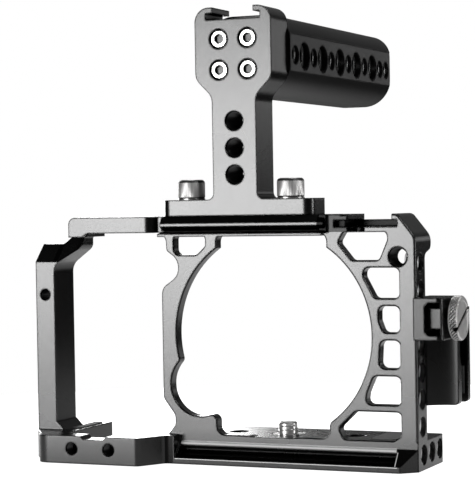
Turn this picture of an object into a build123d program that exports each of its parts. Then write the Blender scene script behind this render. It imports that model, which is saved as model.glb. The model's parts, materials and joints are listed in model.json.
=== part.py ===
from build123d import *
import math
import os

# Camera cage with a top handle and a cable clamp.
# Millimetres, +Z up. X runs along the camera, Y runs from the lens side to the
# screen side. Y = 0 is the face of the front plate, Z = 0 the underside of the
# base and X = 0 the middle of the space between the two sides, to half a millimetre.

# ---- driving dimensions: cage ------------------------------------------------
LEFT_X = -69.0            # outer face of the grip-side upright
CAGE_W = 139.0            # outer width over both sides
BASE_T = 9.4              # thickness of the base
BASE_D = 26.7             # depth of the base behind the front plate's face
BAY_H = 67.7              # clear height for the camera
TOP_T = 5.9               # thickness of the top rail
PLATE_T = 4.0             # thickness of the front plate
PLATE_NECK = 33.8         # its edge at the release lever, from the lens axis
PLATE_NECK_R = 5.0
UPRIGHT_T = 7.2           # grip-side upright, across X
UPRIGHT_D = 14.0          # grip-side upright, along Y
COLUMN_T = 5.6            # port-side column, across X
COLUMN_D = 9.4            # port-side column, along Y
SHOULDER_D = 16.0         # depth of the top corner above the column
THREAD_R = 3.175          # 1/4-20 thread, outside
RUN = 0.05                # radial clearance of a thread or shaft that turns
TAP_R = THREAD_R + RUN    # wall radius of a 1/4-20 hole
TAP_38_R = 4.76 + RUN     # wall radius of a 3/8-16 hole
HOLE_PITCH = 8.79         # spacing of the 1/4-20 holes up the column
COLUMN_HOLES = 8
CORNER_IN = 6.0           # bevel at the top of the port side
CORNER_DOWN = 1.6         # where it ends, below the bay's top
CORNER_TOP_R = 2.4
CORNER_LOW_R = 5.0
FRONT_EDGE_R = 0.7        # rounded front edge of the port side
SINK = 0.15               # countersink at the mouth of a threaded hole
EDGE = 0.35               # broken edge round the front plate's openings

# lens opening and rail
LENS_SIDE = 50.2          # lens axis to the outer face of the port side
LENS_UP = 0.25            # lens axis above the middle of the bay
LENS_PAST = 1.2           # how far its circle would reach past the top of the bay
LENS_CORNER_R = 2.8       # corners of the lens opening's flat head and foot
LENS_INNER_R = 1.9        # where its round sides meet the straight ones
RAIL_LEFT = 41.5          # ends of the quick-release rail from the lens axis
RAIL_RIGHT = 18.0
RAIL_W = 20.6             # over the two noses of the quick-release rail
RAIL_NOSE = 1.0           # height of the flat on each nose
RAIL_BEVEL = 2.0          # how far each nose stands out of its bevels
RAIL_Y0 = 2.0             # front nose behind the plate's face
BAR_IN = 13.2             # bar over the shutter side, from the grip side's face
BAR_D = 7.0               # its depth
WINDOW_ROWS = 6           # windows up the port side of the plate

# block under the hand grip
BLOCK_Y = -14.2           # front face
BLOCK_RIGHT = 43.2        # its right-hand corner from the lens axis
BLOCK_R = 5.0
LIP_Y = -4.3              # front edge of the low lip along the base
LIP_H = 2.0
FOOT_CUT_X = 4.9          # bevel of the base at its port-side front corner
FOOT_CUT_Y = 4.5
BATTERY_IN = 15.0         # cut-out for the battery door, from the grip side's face
BATTERY_RIGHT = 43.8      # and its other end from the lens axis
BATTERY_Y0 = -7.5
LEDGE_UP = 7.2            # where the slope in front of the plate begins
DIP_W = 7.6               # shallow dip in the top of the block
DIP_H = 1.1

# threaded holes away from the column
END_HOLES = 3
END_HOLE_BACK = 0.9       # base end holes, behind the column's line of holes
END_HOLE_PITCH = 8.4
END_HOLE_Z = 5.0
END_HOLE_DEEP = 9.0
BLOCK_HOLE_IN = 27.6      # middle of the pair from the grip side's face
BLOCK_HOLE_PITCH = 14.0
BLOCK_HOLE_Z = 5.0
BLOCK_HOLE_R = 2.1
BLOCK_HOLE_DEEP = 5.5
UPRIGHT_HOLE_DOWN = 20.7  # below the bay's top, in the middle of the upright
UPRIGHT_HOLE_R = 1.9
CORNER_HOLE_IN = 6.0      # from the port side's face
CORNER_HOLE_DOWN = 8.0    # below the bay's top
TRIPOD_FROM_LENS = (-17.8, 24.2)
TRIPOD_38_FROM_LENS = -30.8
PAD_SIDE = 9.0            # rubber strip at the port side, from the outer face
PAD_W = 9.0
PAD_END = 4.0             # strips stop short of the base's front and back
PAD_R = 1.5
PAD_LEFT_GAP = 3.4        # the other strip, clear of the upright's foot
PAD_CUT_GAP = 1.2         # and of the battery cut-out

# cold shoes, one on the cage and one on the handle
SHOE_SLOT_W = 18.8
SHOE_MOUTH_W = 14.9
SHOE_SLOT_H = 2.3
SHOE_LIP_T = 1.9
SHOE_SIDE = 15.4          # middle of the cage's shoe from the port side's face
SHOE_STOP = 2.0           # wall left at the blind end
SHOE_RELIEF_W = 3.0       # wider slot just behind the front edge
SHOE_RELIEF_D = 3.0
HEAD_SLOT_W = 19.8        # the handle's shoe is a little wider

# ---- driving dimensions: handle ---------------------------------------------
HANDLE_LEFT = 14.1        # middle of the handle to the left of the lens axis
HANDLE_Y = 4.0            # front face of the handle
HANDLE_D = 14.5           # depth of foot, post and head
FOOT_W = 55.0
FOOT_T = 5.5
FOOT_R = 3.3
POST_W = 16.0
HEAD_W = 27.8
HANDLE_H = 70.0           # from the top rail to the top of the head
HEAD_H = 24.0             # straight sides of the head
HEAD_R = 5.0
NECK_R = 5.0              # the S between head and post
POST_HOLE_PITCH = 9.0
POST_HOLES = 3
POST_HOLE_UP = 13.7       # lowest of them above the rail
HEAD_SCREW_PITCH = 10.4
HEAD_SCREW_DOWN = 15.9    # middle of the four head screws below the head's top
GRIP_W = 29.8
GRIP_H = 27.3
GRIP_DOWN = 2.0           # top of the grip below the head's top
GRIP_L = 104.5
GRIP_TOP_R = 8.6
GRIP_LOW_R = 11.0
GRIP_HOLES = 12
GRIP_PITCH = 8.66
GRIP_FIRST = 5.7          # first cross hole behind the head
GRIP_LAST = 6.9           # the last hole sits closer to its neighbour
FLAT_H = 14.2             # milled flats along the grip's sides
FLAT_T = 0.4
FLAT_START = 1.2          # plain ring left against the head
GRIP_WALL = 2.5           # wall left by the hollow above and below
GRIP_SIDE_WALL = 4.0      # thicker at the sides, where the cross holes are threaded
GRIP_FRONT_WALL = 9.3     # solid part that takes the head screws
CAP_PLUG = 2.0            # how deep the end cap sits in the grip

# ---- driving dimensions: fasteners ------------------------------------------
FIT = 0.01                # radial gap of a part pressed or glued in
PLAY = 0.3                # radial gap where a part moves freely
HANDLE_SCREW_PITCH = 36.4
HANDLE_SCREW_BACK = 4.7   # behind the handle's front face
CAP_R = 4.6
CAP_H = 6.3
CAP_HEX = 4.0             # across the flats of the socket
CAP_HEX_DEEP = 3.4
WASHER_T = 0.5
HANDLE_THREAD = 5.5       # engagement in the top rail
SMALL_R = 1.5             # M3 screws through the head
SMALL_HEAD_R = 2.9
SMALL_HEAD_H = 3.0
SMALL_SINK = 0.3          # head of the screw below the face
SMALL_HEX = 3.0
SMALL_GRIP = 9.0          # engagement in the grip
CAM_SCREW_HEAD_R = 7.0
CAM_SCREW_HEAD_H = 3.0
CAM_SCREW_OUT = 4.0       # thread standing above the base
CAM_SCREW_Y = 13.0
CAM_SCREW_SINK = 0.4      # head above the underside
CAM_SLOT_W = 1.8
CAM_SLOT_DEEP = 1.6
CAM_SEAT_WEB = 1.2        # floor between the two counterbores of the camera screw
CLIP_R = 5.0
CLIP_T = 0.7
CLIP_MOUTH = 3.8
CLIP_GROOVE = 0.8         # depth of the groove that holds the clip
PAD_T = 0.4               # rubber strips on the base

# ---- driving dimensions: cable clamp ----------------------------------------
FRAME_W = 9.7             # across X, out from the column
FRAME_FRONT = -4.0
FRAME_D = 15.0
FRAME_H = 13.5
FRAME_WALL = 3.9          # wall against the column
FRAME_BAR = 1.5           # bars above and below the window
FRAME_OUT_WALL = 0.7      # wall under the thumb wheel
FRAME_R = 1.9
FRAME_EDGE_R = 0.5
WINDOW_BEVEL = 1.2        # corners of the window on the column's side
FRAME_BACK_WALL = 3.6
BOSS_H = 6.6              # block that guides the stud
BOSS_BACK = 3.7           # its face behind the frame's face
CLAMP_WASHER_R = 4.6
CLAMP_WASHER_T = 1.2
KNOB_R = 7.2
KNOB_T = 3.1
KNOB_BEVEL = 0.5
KNOB_SLOT_W = 1.3
KNOB_SLOT_DEEP = 1.2
KNOB_SLOT_TILT = -34.0
STUD_IN_KNOB = 1.9
CLAMP_HOLE = 5            # which column hole it uses, from 0 at the bottom
CHANNEL_GAP = 0.3         # channel clear of the column's side
CHANNEL_DROP = 28.6       # foot of the channel below the thumb screw
CHANNEL_W = 10.0
CHANNEL_NOSE = 3.6        # the front face runs this far forward beside the column
CHANNEL_CORNER_R = 1.3
CHANNEL_WEB = 2.5
FLANGE_T = 2.1            # front flange behind the frame
FLANGE_LOW_T = 3.4        # front flange where the plug sits
PLUG_GAP = 8.8            # between the flanges in the upper part
CABLE_GAP = 7.0           # between them in the lower part
FUNNEL_DROP = 16.15       # the gap narrows from here, below the thumb screw
FUNNEL_H = 2.6            # up over this height
REAR_T = 2.7
REAR_UP = 2.65            # top of the rear flange above the thumb screw
LINER_T = 0.6             # rubber liner in the channel
M25_R = 1.25
M25_HEAD_R = 2.3
M25_SINK = 1.2            # depth of the countersink
CLAMP_SCREW_UP = 4.3      # the two channel screws above and below the stud
CLAMP_SCREW_OUT = 5.9     # their distance from the column
M25_HEX = 1.5
M25_HEX_DEEP = 1.1
LINER_UP = 2.8            # the liner's lower end above the channel's foot

# ---- worked out from the values above ---------------------------------------
RIGHT_X = LEFT_X + CAGE_W
COLUMN_X = RIGHT_X - COLUMN_T
LENS_X = RIGHT_X - LENS_SIDE
LENS_Z = BASE_T + BAY_H / 2 + LENS_UP
LENS_R = BAY_H / 2 - LENS_UP + LENS_PAST
RAIL_X0 = LENS_X - RAIL_LEFT
RAIL_X1 = LENS_X + RAIL_RIGHT
BLOCK_X1 = LENS_X - BLOCK_RIGHT
LIP_X0 = LENS_X - 35.2    # the low lip along the base begins here
BATTERY_X0 = LEFT_X + BATTERY_IN
BATTERY_X1 = LENS_X - BATTERY_RIGHT
SHOE_X = RIGHT_X - SHOE_SIDE
HANDLE_X = LENS_X - HANDLE_LEFT
BAY_TOP = BASE_T + BAY_H
TOP_Z = BAY_TOP + TOP_T
COLUMN_Y = COLUMN_D / 2 + 0.3
FIRST_HOLE_Z = BASE_T / 2 + 0.7
FOOT_TOP = TOP_Z + FOOT_T
HEAD_TOP = TOP_Z + HANDLE_H
HANDLE_BACK = HANDLE_Y + HANDLE_D
SCREW_Y = HANDLE_Y + HANDLE_SCREW_BACK
HEAD_MID_Z = HEAD_TOP - HEAD_SCREW_DOWN
GRIP_MID_Z = HEAD_TOP - GRIP_DOWN - GRIP_H / 2
GRIP_BACK = HANDLE_BACK + GRIP_L
CLAMP_Z = FIRST_HOLE_Z + CLAMP_HOLE * HOLE_PITCH
FRAME_OUT = RIGHT_X + FRAME_W
FRAME_BACK = FRAME_FRONT + FRAME_D
FRAME_Z0 = CLAMP_Z - FRAME_H / 2
FRAME_Z1 = CLAMP_Z + FRAME_H / 2
KNOB_X = FRAME_OUT + CLAMP_WASHER_T
CHANNEL_BOTTOM = CLAMP_Z - CHANNEL_DROP
FUNNEL_Z0 = CLAMP_Z - FUNNEL_DROP
FUNNEL_Z1 = FUNNEL_Z0 + FUNNEL_H
REAR_TOP = CLAMP_Z + REAR_UP
BAR_X0 = LEFT_X + BAR_IN
BAR_Z0 = BAY_TOP + 0.4
BAR_INNER_X = BAR_X0 + 5.8
EPS = 0.01
OVER = 1.0                # how far a cutter runs past the face it opens


# ---- small helpers ----------------------------------------------------------
def front(sketch, y0, y1):
    """A flat shape drawn in X and Z, given depth from y0 to y1."""
    return Pos(0, y1, 0) * extrude(Plane.XZ * sketch, amount=y1 - y0)


def side(sketch, x0, x1):
    """A flat shape drawn in Y and Z, given width from x0 to x1."""
    return Pos(x0, 0, 0) * extrude(Plane.YZ * sketch, amount=x1 - x0)


def plan(sketch, z0, z1):
    """A flat shape drawn in X and Y, given height from z0 to z1."""
    return Pos(0, 0, z0) * extrude(Plane.XY * sketch, amount=z1 - z0)


def shape(points, radius=0.0):
    """A closed outline through the points, every corner rounded."""
    face = make_face(Polyline(*points, close=True))
    return fillet(face.vertices(), radius) if radius else face


def rounded(points):
    """A closed outline of (x, y, corner radius) points."""
    face = make_face(Polyline(*[(x, y) for x, y, _ in points], close=True))
    for x, y, radius in points:
        if radius > 0:
            corner = min(face.vertices(), key=lambda v: (v.X - x) ** 2 + (v.Y - y) ** 2)
            face = fillet(corner, radius)
    return face


def box(x0, x1, y0, y1, z0, z1):
    middle = Pos((x0 + x1) / 2, (y0 + y1) / 2, (z0 + z1) / 2)
    return middle * Box(x1 - x0, y1 - y0, z1 - z0)


def rod_x(y, z, radius, x0, x1):
    return Pos((x0 + x1) / 2, y, z) * Rot(0, 90, 0) * Cylinder(radius, x1 - x0)


def rod_y(x, z, radius, y0, y1):
    return Pos(x, (y0 + y1) / 2, z) * Rot(-90, 0, 0) * Cylinder(radius, y1 - y0)


def rod_z(x, y, radius, z0, z1):
    return Pos(x, y, (z0 + z1) / 2) * Cylinder(radius, z1 - z0)


def tapped_x(y, z, radius, x_mouth, x_end):
    """A threaded hole along X with a countersunk mouth at x_mouth."""
    turn = 1 if x_mouth > x_end else -1
    bore = rod_x(y, z, radius, min(x_mouth, x_end) - EPS, max(x_mouth, x_end) + EPS)
    cone = Cone(radius, radius + 2 * SINK, 2 * SINK)
    return bore + Pos(x_mouth, y, z) * Rot(0, 90 * turn, 0) * cone


def tapped_y(x, z, radius, y_mouth, y_end):
    turn = 1 if y_mouth < y_end else -1
    bore = rod_y(x, z, radius, min(y_mouth, y_end) - EPS, max(y_mouth, y_end) + EPS)
    cone = Cone(radius, radius + 2 * SINK, 2 * SINK)
    return bore + Pos(x, y_mouth, z) * Rot(90 * turn, 0, 0) * cone


def tapped_z(x, y, radius, z_mouth, z_end):
    turn = 0 if z_mouth > z_end else 180
    bore = rod_z(x, y, radius, min(z_mouth, z_end) - EPS, max(z_mouth, z_end) + EPS)
    cone = Cone(radius, radius + 2 * SINK, 2 * SINK)
    return bore + Pos(x, y, z_mouth) * Rot(turn, 0, 0) * cone


def hexagon(across):
    return RegularPolygon(across / math.sqrt(3), 6)


# ---- cage -------------------------------------------------------------------
def base_plan():
    """Outline of the base seen from above, with the block under the hand grip."""
    back = BASE_D
    return rounded([
        (LEFT_X, back, 4.0),
        (LEFT_X, -0.6, 1.5),
        (LEFT_X + 6.2, BLOCK_Y + BLOCK_R, 2.0),
        (LEFT_X + 7.0, BLOCK_Y, BLOCK_R),
        (BLOCK_X1, BLOCK_Y, 2.4),
        (LIP_X0 - 2.4, LIP_Y, 2.5),
        (RIGHT_X - FOOT_CUT_X, LIP_Y, 1.0),
        (RIGHT_X, LIP_Y + FOOT_CUT_Y, 0.6),
        (RIGHT_X, back, 1.2),
    ])


def base():
    body = plan(base_plan(), 0, BASE_T)
    battery = rounded([(BATTERY_X0, BATTERY_Y0, 3.0), (BATTERY_X1, BATTERY_Y0, 3.0),
                       (BATTERY_X1, BASE_D + OVER, 0.0), (BATTERY_X0, BASE_D + OVER, 0.0)])
    body -= plan(battery, -OVER, BASE_T + OVER)
    # the ledge in front of the plate: a slope, then a long relief above the lip
    far = LIP_Y - 10
    slope = side(shape([(far, BASE_T + OVER), (far, LIP_H), (LIP_Y, LIP_H), (0, LEDGE_UP),
                        (0, BASE_T + OVER)]), LIP_X0 + 0.8, RIGHT_X + OVER)
    body -= slope
    groove_x0, groove_x1 = LIP_X0 + 1.5, RIGHT_X - 6.8
    groove_r = 1.6
    groove = plan(fillet(
        Polygon((groove_x0, 4.0), (groove_x0, LIP_Y + 0.9), (groove_x1, LIP_Y + 0.9),
                (groove_x1, 4.0), align=None).vertices().sort_by(Axis.X)[2:], groove_r),
        LIP_H - OVER, 6.4)
    wedge = side(shape([(LIP_Y + 0.4, LIP_H - 0.6), (LIP_Y + 0.4, 9.0), (0, 9.0), (0, 5.6),
                        (0.9, 5.3), (1.1, 4.4)]), groove_x0, groove_x1)
    body -= groove & wedge
    # shallow dip in the top of the block
    dip_x = LEFT_X + BLOCK_HOLE_IN + 1.2
    half = DIP_W / 2
    dip = front(shape([(dip_x - half - DIP_H, BASE_T + EPS), (dip_x - half, BASE_T - DIP_H),
                       (dip_x + half, BASE_T - DIP_H), (dip_x + half + DIP_H, BASE_T + EPS)]),
                BLOCK_Y - OVER, BLOCK_Y + 12.2)
    return body - dip


def lens_opening():
    """Round opening with a square-shouldered top, a flat foot and a release-button bulge."""
    top_half = 19.6
    foot_z = BASE_T + 0.4
    ring = Pos(LENS_X, LENS_Z) * Circle(LENS_R)
    top = Pos(LENS_X, (LENS_Z + BAY_TOP) / 2) * Rectangle(2 * top_half, BAY_TOP - LENS_Z)
    foot = Pos(LENS_X - 0.2, (foot_z + LENS_Z) / 2) * Rectangle(2 * top_half + 1.0, LENS_Z - foot_z)
    bulge = Pos(LENS_X - 26.4, LENS_Z - 17.1) * Circle(10.7)
    opening = ring + top + foot + bulge
    corners = [v for v in opening.vertices() if v.Y > BAY_TOP - 1 or v.Y < foot_z + 1]
    opening = fillet(corners, LENS_CORNER_R)
    inner = [v for v in opening.vertices() if BAY_TOP - 6 > v.Y > foot_z + 4]
    return fillet(inner, LENS_INNER_R)


def plate_outline():
    """Front plate: the grip-side edge swells and narrows round the release lever."""
    x, low, high = LENS_X, BASE_T, BAY_TOP
    return rounded([
        (x - 41.6, high, 0.0),
        (x - 38.3, high - 0.9, 2.4),
        (x - 38.0, high - 5.7, 1.5),
        (x - PLATE_NECK, high - 8.7, PLATE_NECK_R),
        (x - PLATE_NECK, high - 14.1, PLATE_NECK_R),
        (x - 40.0, high - 18.3, 4.0),
        (x - 40.0, low + 12.2, 3.0),
        (x - 35.7, low + 6.4, 3.0),
        (x - 35.7, low + 3.2, 2.4),
        (x - 39.3, low - 1.0, 0.0),
        (RIGHT_X, low - 1.0, 0.0),
        (RIGHT_X, high, 0.0),
    ])


def web_z(number):
    """Middle height of a web between two windows; the webs share the bay's height evenly."""
    return BASE_T + number * BAY_H / WINDOW_ROWS


def windows():
    """Outline and corner radius of every window; six of them climb the port side."""
    left, right = LENS_X, COLUMN_X
    low, high = [web_z(row) for row in range(WINDOW_ROWS)], [web_z(row + 1) for row in range(WINDOW_ROWS)]
    return [
        ([(left - 35.3, BAY_TOP - 0.1), (left - 23.8, BAY_TOP - 0.1), (left - 23.9, BAY_TOP - 4.3),
          (left - 27.0, BAY_TOP - 7.1), (left - 35.3, BAY_TOP - 7.1)], 2.0),
        ([(right - 15.6, high[0] - 1.7), (right, high[0] - 1.7), (right, low[0] + 2.2),
          (right - 2.6, low[0] + 0.3), (right - 19.8, low[0] + 0.3), (right - 21.5, low[0] + 4.0)], 1.7),
        ([(right - 9.2, high[1] - 1.4), (right, high[1] - 1.4), (right, low[1] + 0.6),
          (right - 12.1, low[1] + 0.6), (right - 11.5, low[1] + 4.3)], 1.9),
        ([(right - 6.8, high[2] - 1.1), (right, high[2] - 1.1), (right, low[2] + 1.1),
          (right - 7.3, low[2] + 1.1)], 2.1),
        ([(right - 7.2, high[3] - 1.3), (right - 0.1, high[3] - 1.3), (right - 0.1, low[3] + 1.4),
          (right - 5.7, low[3] + 1.4), (right - 7.2, low[3] + 5.3)], 1.9),
        ([(right - 12.2, high[4] - 0.2), (right - 0.1, high[4] - 0.2), (right - 0.1, low[4] + 1.2),
          (right - 8.5, low[4] + 1.2), (right - 12.2, low[4] + 8.1)], 1.9),
        ([(right - 18.8, high[5] + 0.2), (right - 4.1, high[5] + 0.2), (right - 4.1, high[5] - 2.7),
          (right - 6.9, low[5] + 2.2), (right - 16.2, low[5] + 2.2), (right - 20.9, high[5] - 3.3)], 1.6),
    ]


def front_plate():
    """The plate is cut by the lens opening, the windows and their broken edges."""
    body = front(plate_outline(), 0, PLATE_T)
    cuts = [lens_opening()] + [shape(points, radius) for points, radius in windows()]
    for cut in cuts:
        body -= front(cut, -OVER, PLATE_T + OVER)
        rim = extrude(Plane.XZ * cut, amount=OVER, taper=-45)
        body -= Pos(0, EDGE, 0) * rim
    return body


def top_rail():
    """Quick-release rail across the middle, with a nose along the front and the back."""
    y0, y1 = RAIL_Y0, RAIL_Y0 + RAIL_W
    nose0 = (BAY_TOP + TOP_Z - RAIL_NOSE) / 2
    nose1 = nose0 + RAIL_NOSE
    section = shape([
        (0, BAY_TOP - OVER), (0, BAY_TOP), (y0 + RAIL_BEVEL, BAY_TOP + 0.7),
        (y0, nose0), (y0, nose1), (y0 + RAIL_BEVEL, TOP_Z),
        (y1 - RAIL_BEVEL, TOP_Z), (y1, nose1), (y1, nose0), (y1 - RAIL_BEVEL, BAY_TOP),
        (PLATE_T, BAY_TOP), (PLATE_T, BAY_TOP - OVER),
    ])
    return side(section, RAIL_X0, RAIL_X1)


def top_bar():
    """Bar from the rail to the grip-side corner, rounded back into the rail."""
    outline = rounded([
        (BAR_X0, TOP_Z, 2.4), (RAIL_X0 + 1, TOP_Z, 0.0), (RAIL_X0 + 1, BAR_Z0, 0.0),
        (BAR_X0 + 7.2, BAR_Z0, 2.2), (BAR_X0 + 5.0, BAR_Z0 - 1.3, 2.0), (BAR_X0, BAR_Z0 - 1.3, 0.0),
    ])
    footprint = rounded([
        (BAR_X0 - 5, 0, 0.0), (RAIL_X0 - 1.6, 0, 3.4), (RAIL_X0 - 1.6, 3.6, 0.0),
        (RAIL_X0 + 2, 3.6, 0.0), (RAIL_X0 + 2, BAR_D + 6, 0.0), (RAIL_X0 - 1, BAR_D, 5.0),
        (BAR_X0 - 5, BAR_D, 0.0),
    ])
    return front(outline, 0, BAR_D + 6) & plan(footprint, BAY_TOP - 5, TOP_Z + OVER)


def upright():
    """Grip-side upright, bevelled back at the top, with an S-shaped web to the bar."""
    inner = LEFT_X + UPRIGHT_T
    upright_top = BAY_TOP - 3.2
    bevel_z = BAY_TOP - 9.3
    outline = rounded([
        (LEFT_X, 0, 0.0), (LEFT_X, upright_top, 0.0), (LEFT_X + 8.4, upright_top, 2.6),
        (BAR_X0 + 0.3, TOP_Z - 3.6, 2.6), (BAR_X0 + 0.3, TOP_Z - 0.4, 0.0),
        (BAR_INNER_X, TOP_Z - 0.4, 0.0), (BAR_INNER_X, BAR_Z0 + 0.2, 0.0),
        (BAR_X0 + 2.2, BAR_Z0 - 1.4, 1.0), (BAR_X0 + 2.2, BAY_TOP - 4.5, 3.0), (inner, BAY_TOP - 10.6, 5.0),
        (inner, BASE_T - 1, 0.0), (inner, 0, 0.0),
    ])
    depth = front(outline, 0, UPRIGHT_D)
    rise = upright_top - bevel_z
    bevel = side(shape([(-OVER, bevel_z - OVER), (-OVER, TOP_Z + 5), (rise + 3.5, TOP_Z + 5),
                        (rise + 3.5, TOP_Z - 3.0), (rise, upright_top)]), LEFT_X - OVER, BAR_INNER_X + EPS)
    foot_fillet = front(rounded([(inner - 1, BASE_T - 1, 0.0), (inner - 1, BASE_T + 3.2, 0.0),
                                 (inner, BASE_T + 3.0, 2.2), (inner + 3.0, BASE_T, 0.0),
                                 (inner + 3.0, BASE_T - 1, 0.0)]), 0, UPRIGHT_D)
    return (depth - bevel) + foot_fillet + top_bar_web()


def top_bar_web():
    """The bar's own end, kept clear of the upright's bevel."""
    return box(BAR_X0 + 1.2, BAR_INNER_X + OVER, 2.0, UPRIGHT_D, BAR_Z0 - 1.2, TOP_Z - 0.5)


def column():
    """Port-side column with its deeper top shoulder."""
    step_z = BAY_TOP - 7.4
    profile = rounded([
        (0, 0, 0.0), (COLUMN_D, 0, 0.0), (COLUMN_D, step_z, 2.2), (SHOULDER_D, step_z + 1.8, 2.2),
        (SHOULDER_D, TOP_Z, 0.0), (0, TOP_Z, 0.0),
    ])
    return side(profile, COLUMN_X, RIGHT_X)


def port_side_envelope():
    """All that the port side may fill above the base: its corner is bevelled, its front edge rounded."""
    outline = rounded([
        (COLUMN_X - 30, BASE_T, 0.0), (RIGHT_X, BASE_T, 0.0), (RIGHT_X, BAY_TOP - CORNER_DOWN, CORNER_LOW_R),
        (RIGHT_X - CORNER_IN, TOP_Z, CORNER_TOP_R), (COLUMN_X - 30, TOP_Z, 0.0),
    ])
    body = front(outline, 0, SHOULDER_D)
    corner = [e for e in body.edges().filter_by_position(Axis.Y, 0, 0)
              if e.center().X > SHOE_X and BASE_T + EPS < e.center().Z < TOP_Z - EPS]
    return fillet(corner, FRONT_EDGE_R)


def shoe_cutter(middle_x, slot_w, top_z, y0, y1, y_stop):
    """Slot with two overhanging lips: blind at y_stop, its mouth open to y1."""
    slot_top = top_z - SHOE_LIP_T
    floor_z = slot_top - SHOE_SLOT_H
    slot = box(middle_x - slot_w / 2, middle_x + slot_w / 2, y0, y_stop, floor_z, slot_top)
    mouth = box(middle_x - SHOE_MOUTH_W / 2, middle_x + SHOE_MOUTH_W / 2, y0, y1,
                slot_top - EPS, top_z + OVER)
    return slot + mouth


def shoe_block():
    """Top corner that carries the cold shoe."""
    plan_shape = rounded([
        (RAIL_X1 - 2.0, 3.2, 0.0), (RAIL_X1 + 0.8, 3.2, 0.0), (RAIL_X1 + 0.8, 0, 2.4),
        (RIGHT_X, 0, 0.0), (RIGHT_X, SHOULDER_D, 0.0), (RAIL_X1 - 2.0, SHOULDER_D, 0.0),
    ])
    body = plan(plan_shape, BAY_TOP, TOP_Z)
    # round relief in the front edge, beside the left lip
    relief_r = 3.0
    body -= rod_z(SHOE_X - 4.8, 0.3 - relief_r + 2.4, relief_r, BAY_TOP + 0.3, TOP_Z + OVER)
    return body


def column_hole_z(number):
    """Height of a hole in the column; number 0 is the height of the base's end holes."""
    return FIRST_HOLE_Z + number * HOLE_PITCH


def side_holes():
    """Threaded holes up the column and along the end of the base."""
    cuts = []
    for i in range(1, COLUMN_HOLES):
        cuts.append(tapped_x(COLUMN_Y, column_hole_z(i), TAP_R, RIGHT_X, RIGHT_X - COLUMN_T - OVER))
    for i in range(END_HOLES):
        y = COLUMN_Y + END_HOLE_BACK + i * END_HOLE_PITCH
        cuts.append(tapped_x(y, END_HOLE_Z, TAP_R, RIGHT_X, RIGHT_X - END_HOLE_DEEP))
    return cuts


def front_holes():
    """Threaded holes that open forward, in the block, the upright and the shoulder."""
    middle = LEFT_X + BLOCK_HOLE_IN
    cuts = [tapped_y(middle + half, BLOCK_HOLE_Z, BLOCK_HOLE_R, BLOCK_Y, BLOCK_Y + BLOCK_HOLE_DEEP)
            for half in (-BLOCK_HOLE_PITCH / 2, BLOCK_HOLE_PITCH / 2)]
    cuts.append(tapped_y(LEFT_X + UPRIGHT_T / 2, BAY_TOP - UPRIGHT_HOLE_DOWN, UPRIGHT_HOLE_R,
                         0, UPRIGHT_D + OVER))
    cuts.append(tapped_y(RIGHT_X - CORNER_HOLE_IN, BAY_TOP - CORNER_HOLE_DOWN, TAP_R, 0, COLUMN_D))
    return cuts


def tripod_holes():
    cuts = [tapped_z(LENS_X + x, CAM_SCREW_Y, TAP_R, 0, BASE_T + OVER) for x in TRIPOD_FROM_LENS]
    cuts.append(tapped_z(LENS_X + TRIPOD_38_FROM_LENS, CAM_SCREW_Y, TAP_38_R, 0, BASE_T + OVER))
    return cuts


def camera_screw_seat():
    """Counterbore below for the head, a plain hole, and a recess above for the clip."""
    head_top = CAM_SCREW_HEAD_H + CAM_SCREW_SINK
    low = rod_z(LENS_X, CAM_SCREW_Y, CAM_SCREW_HEAD_R + PLAY, -OVER, head_top)
    through = rod_z(LENS_X, CAM_SCREW_Y, THREAD_R + RUN, 0, BASE_T + OVER)
    high = rod_z(LENS_X, CAM_SCREW_Y, CLIP_R + PLAY, head_top + CAM_SEAT_WEB, BASE_T + OVER)
    return low + through + high


def handle_screw_x():
    return (HANDLE_X - HANDLE_SCREW_PITCH / 2, HANDLE_X + HANDLE_SCREW_PITCH / 2)


def make_cage():
    port_side = (front_plate() + column() + shoe_block())
    limit = port_side_envelope() + box(LEFT_X, COLUMN_X - 20, 0, SHOULDER_D, 0, TOP_Z)
    limit += box(LEFT_X, RIGHT_X, 0, SHOULDER_D, 0, BASE_T)
    body = base() + (port_side & limit) + top_rail() + top_bar() + upright()
    body -= shoe_cutter(SHOE_X, SHOE_SLOT_W, TOP_Z, -OVER, SHOULDER_D + OVER, SHOULDER_D - SHOE_STOP)
    # the slot is wider for its first few millimetres
    slot_top = TOP_Z - SHOE_LIP_T
    relief_x0 = SHOE_X - SHOE_SLOT_W / 2 - SHOE_RELIEF_W
    body -= box(relief_x0, SHOE_X, -OVER, SHOE_RELIEF_D, slot_top - SHOE_SLOT_H, slot_top)
    for cut in side_holes() + front_holes() + tripod_holes():
        body -= cut
    body -= camera_screw_seat()
    for x in handle_screw_x():
        body -= rod_z(x, SCREW_Y, TAP_R, BAY_TOP - OVER, TOP_Z + OVER)
    return body


def make_base_pad(x0, x1):
    """Rubber strip that keeps the camera off the metal."""
    outline = Pos((x0 + x1) / 2, BASE_D / 2) * RectangleRounded(x1 - x0, BASE_D - 2 * PAD_END, PAD_R)
    return plan(outline, BASE_T, BASE_T + PAD_T)


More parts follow.
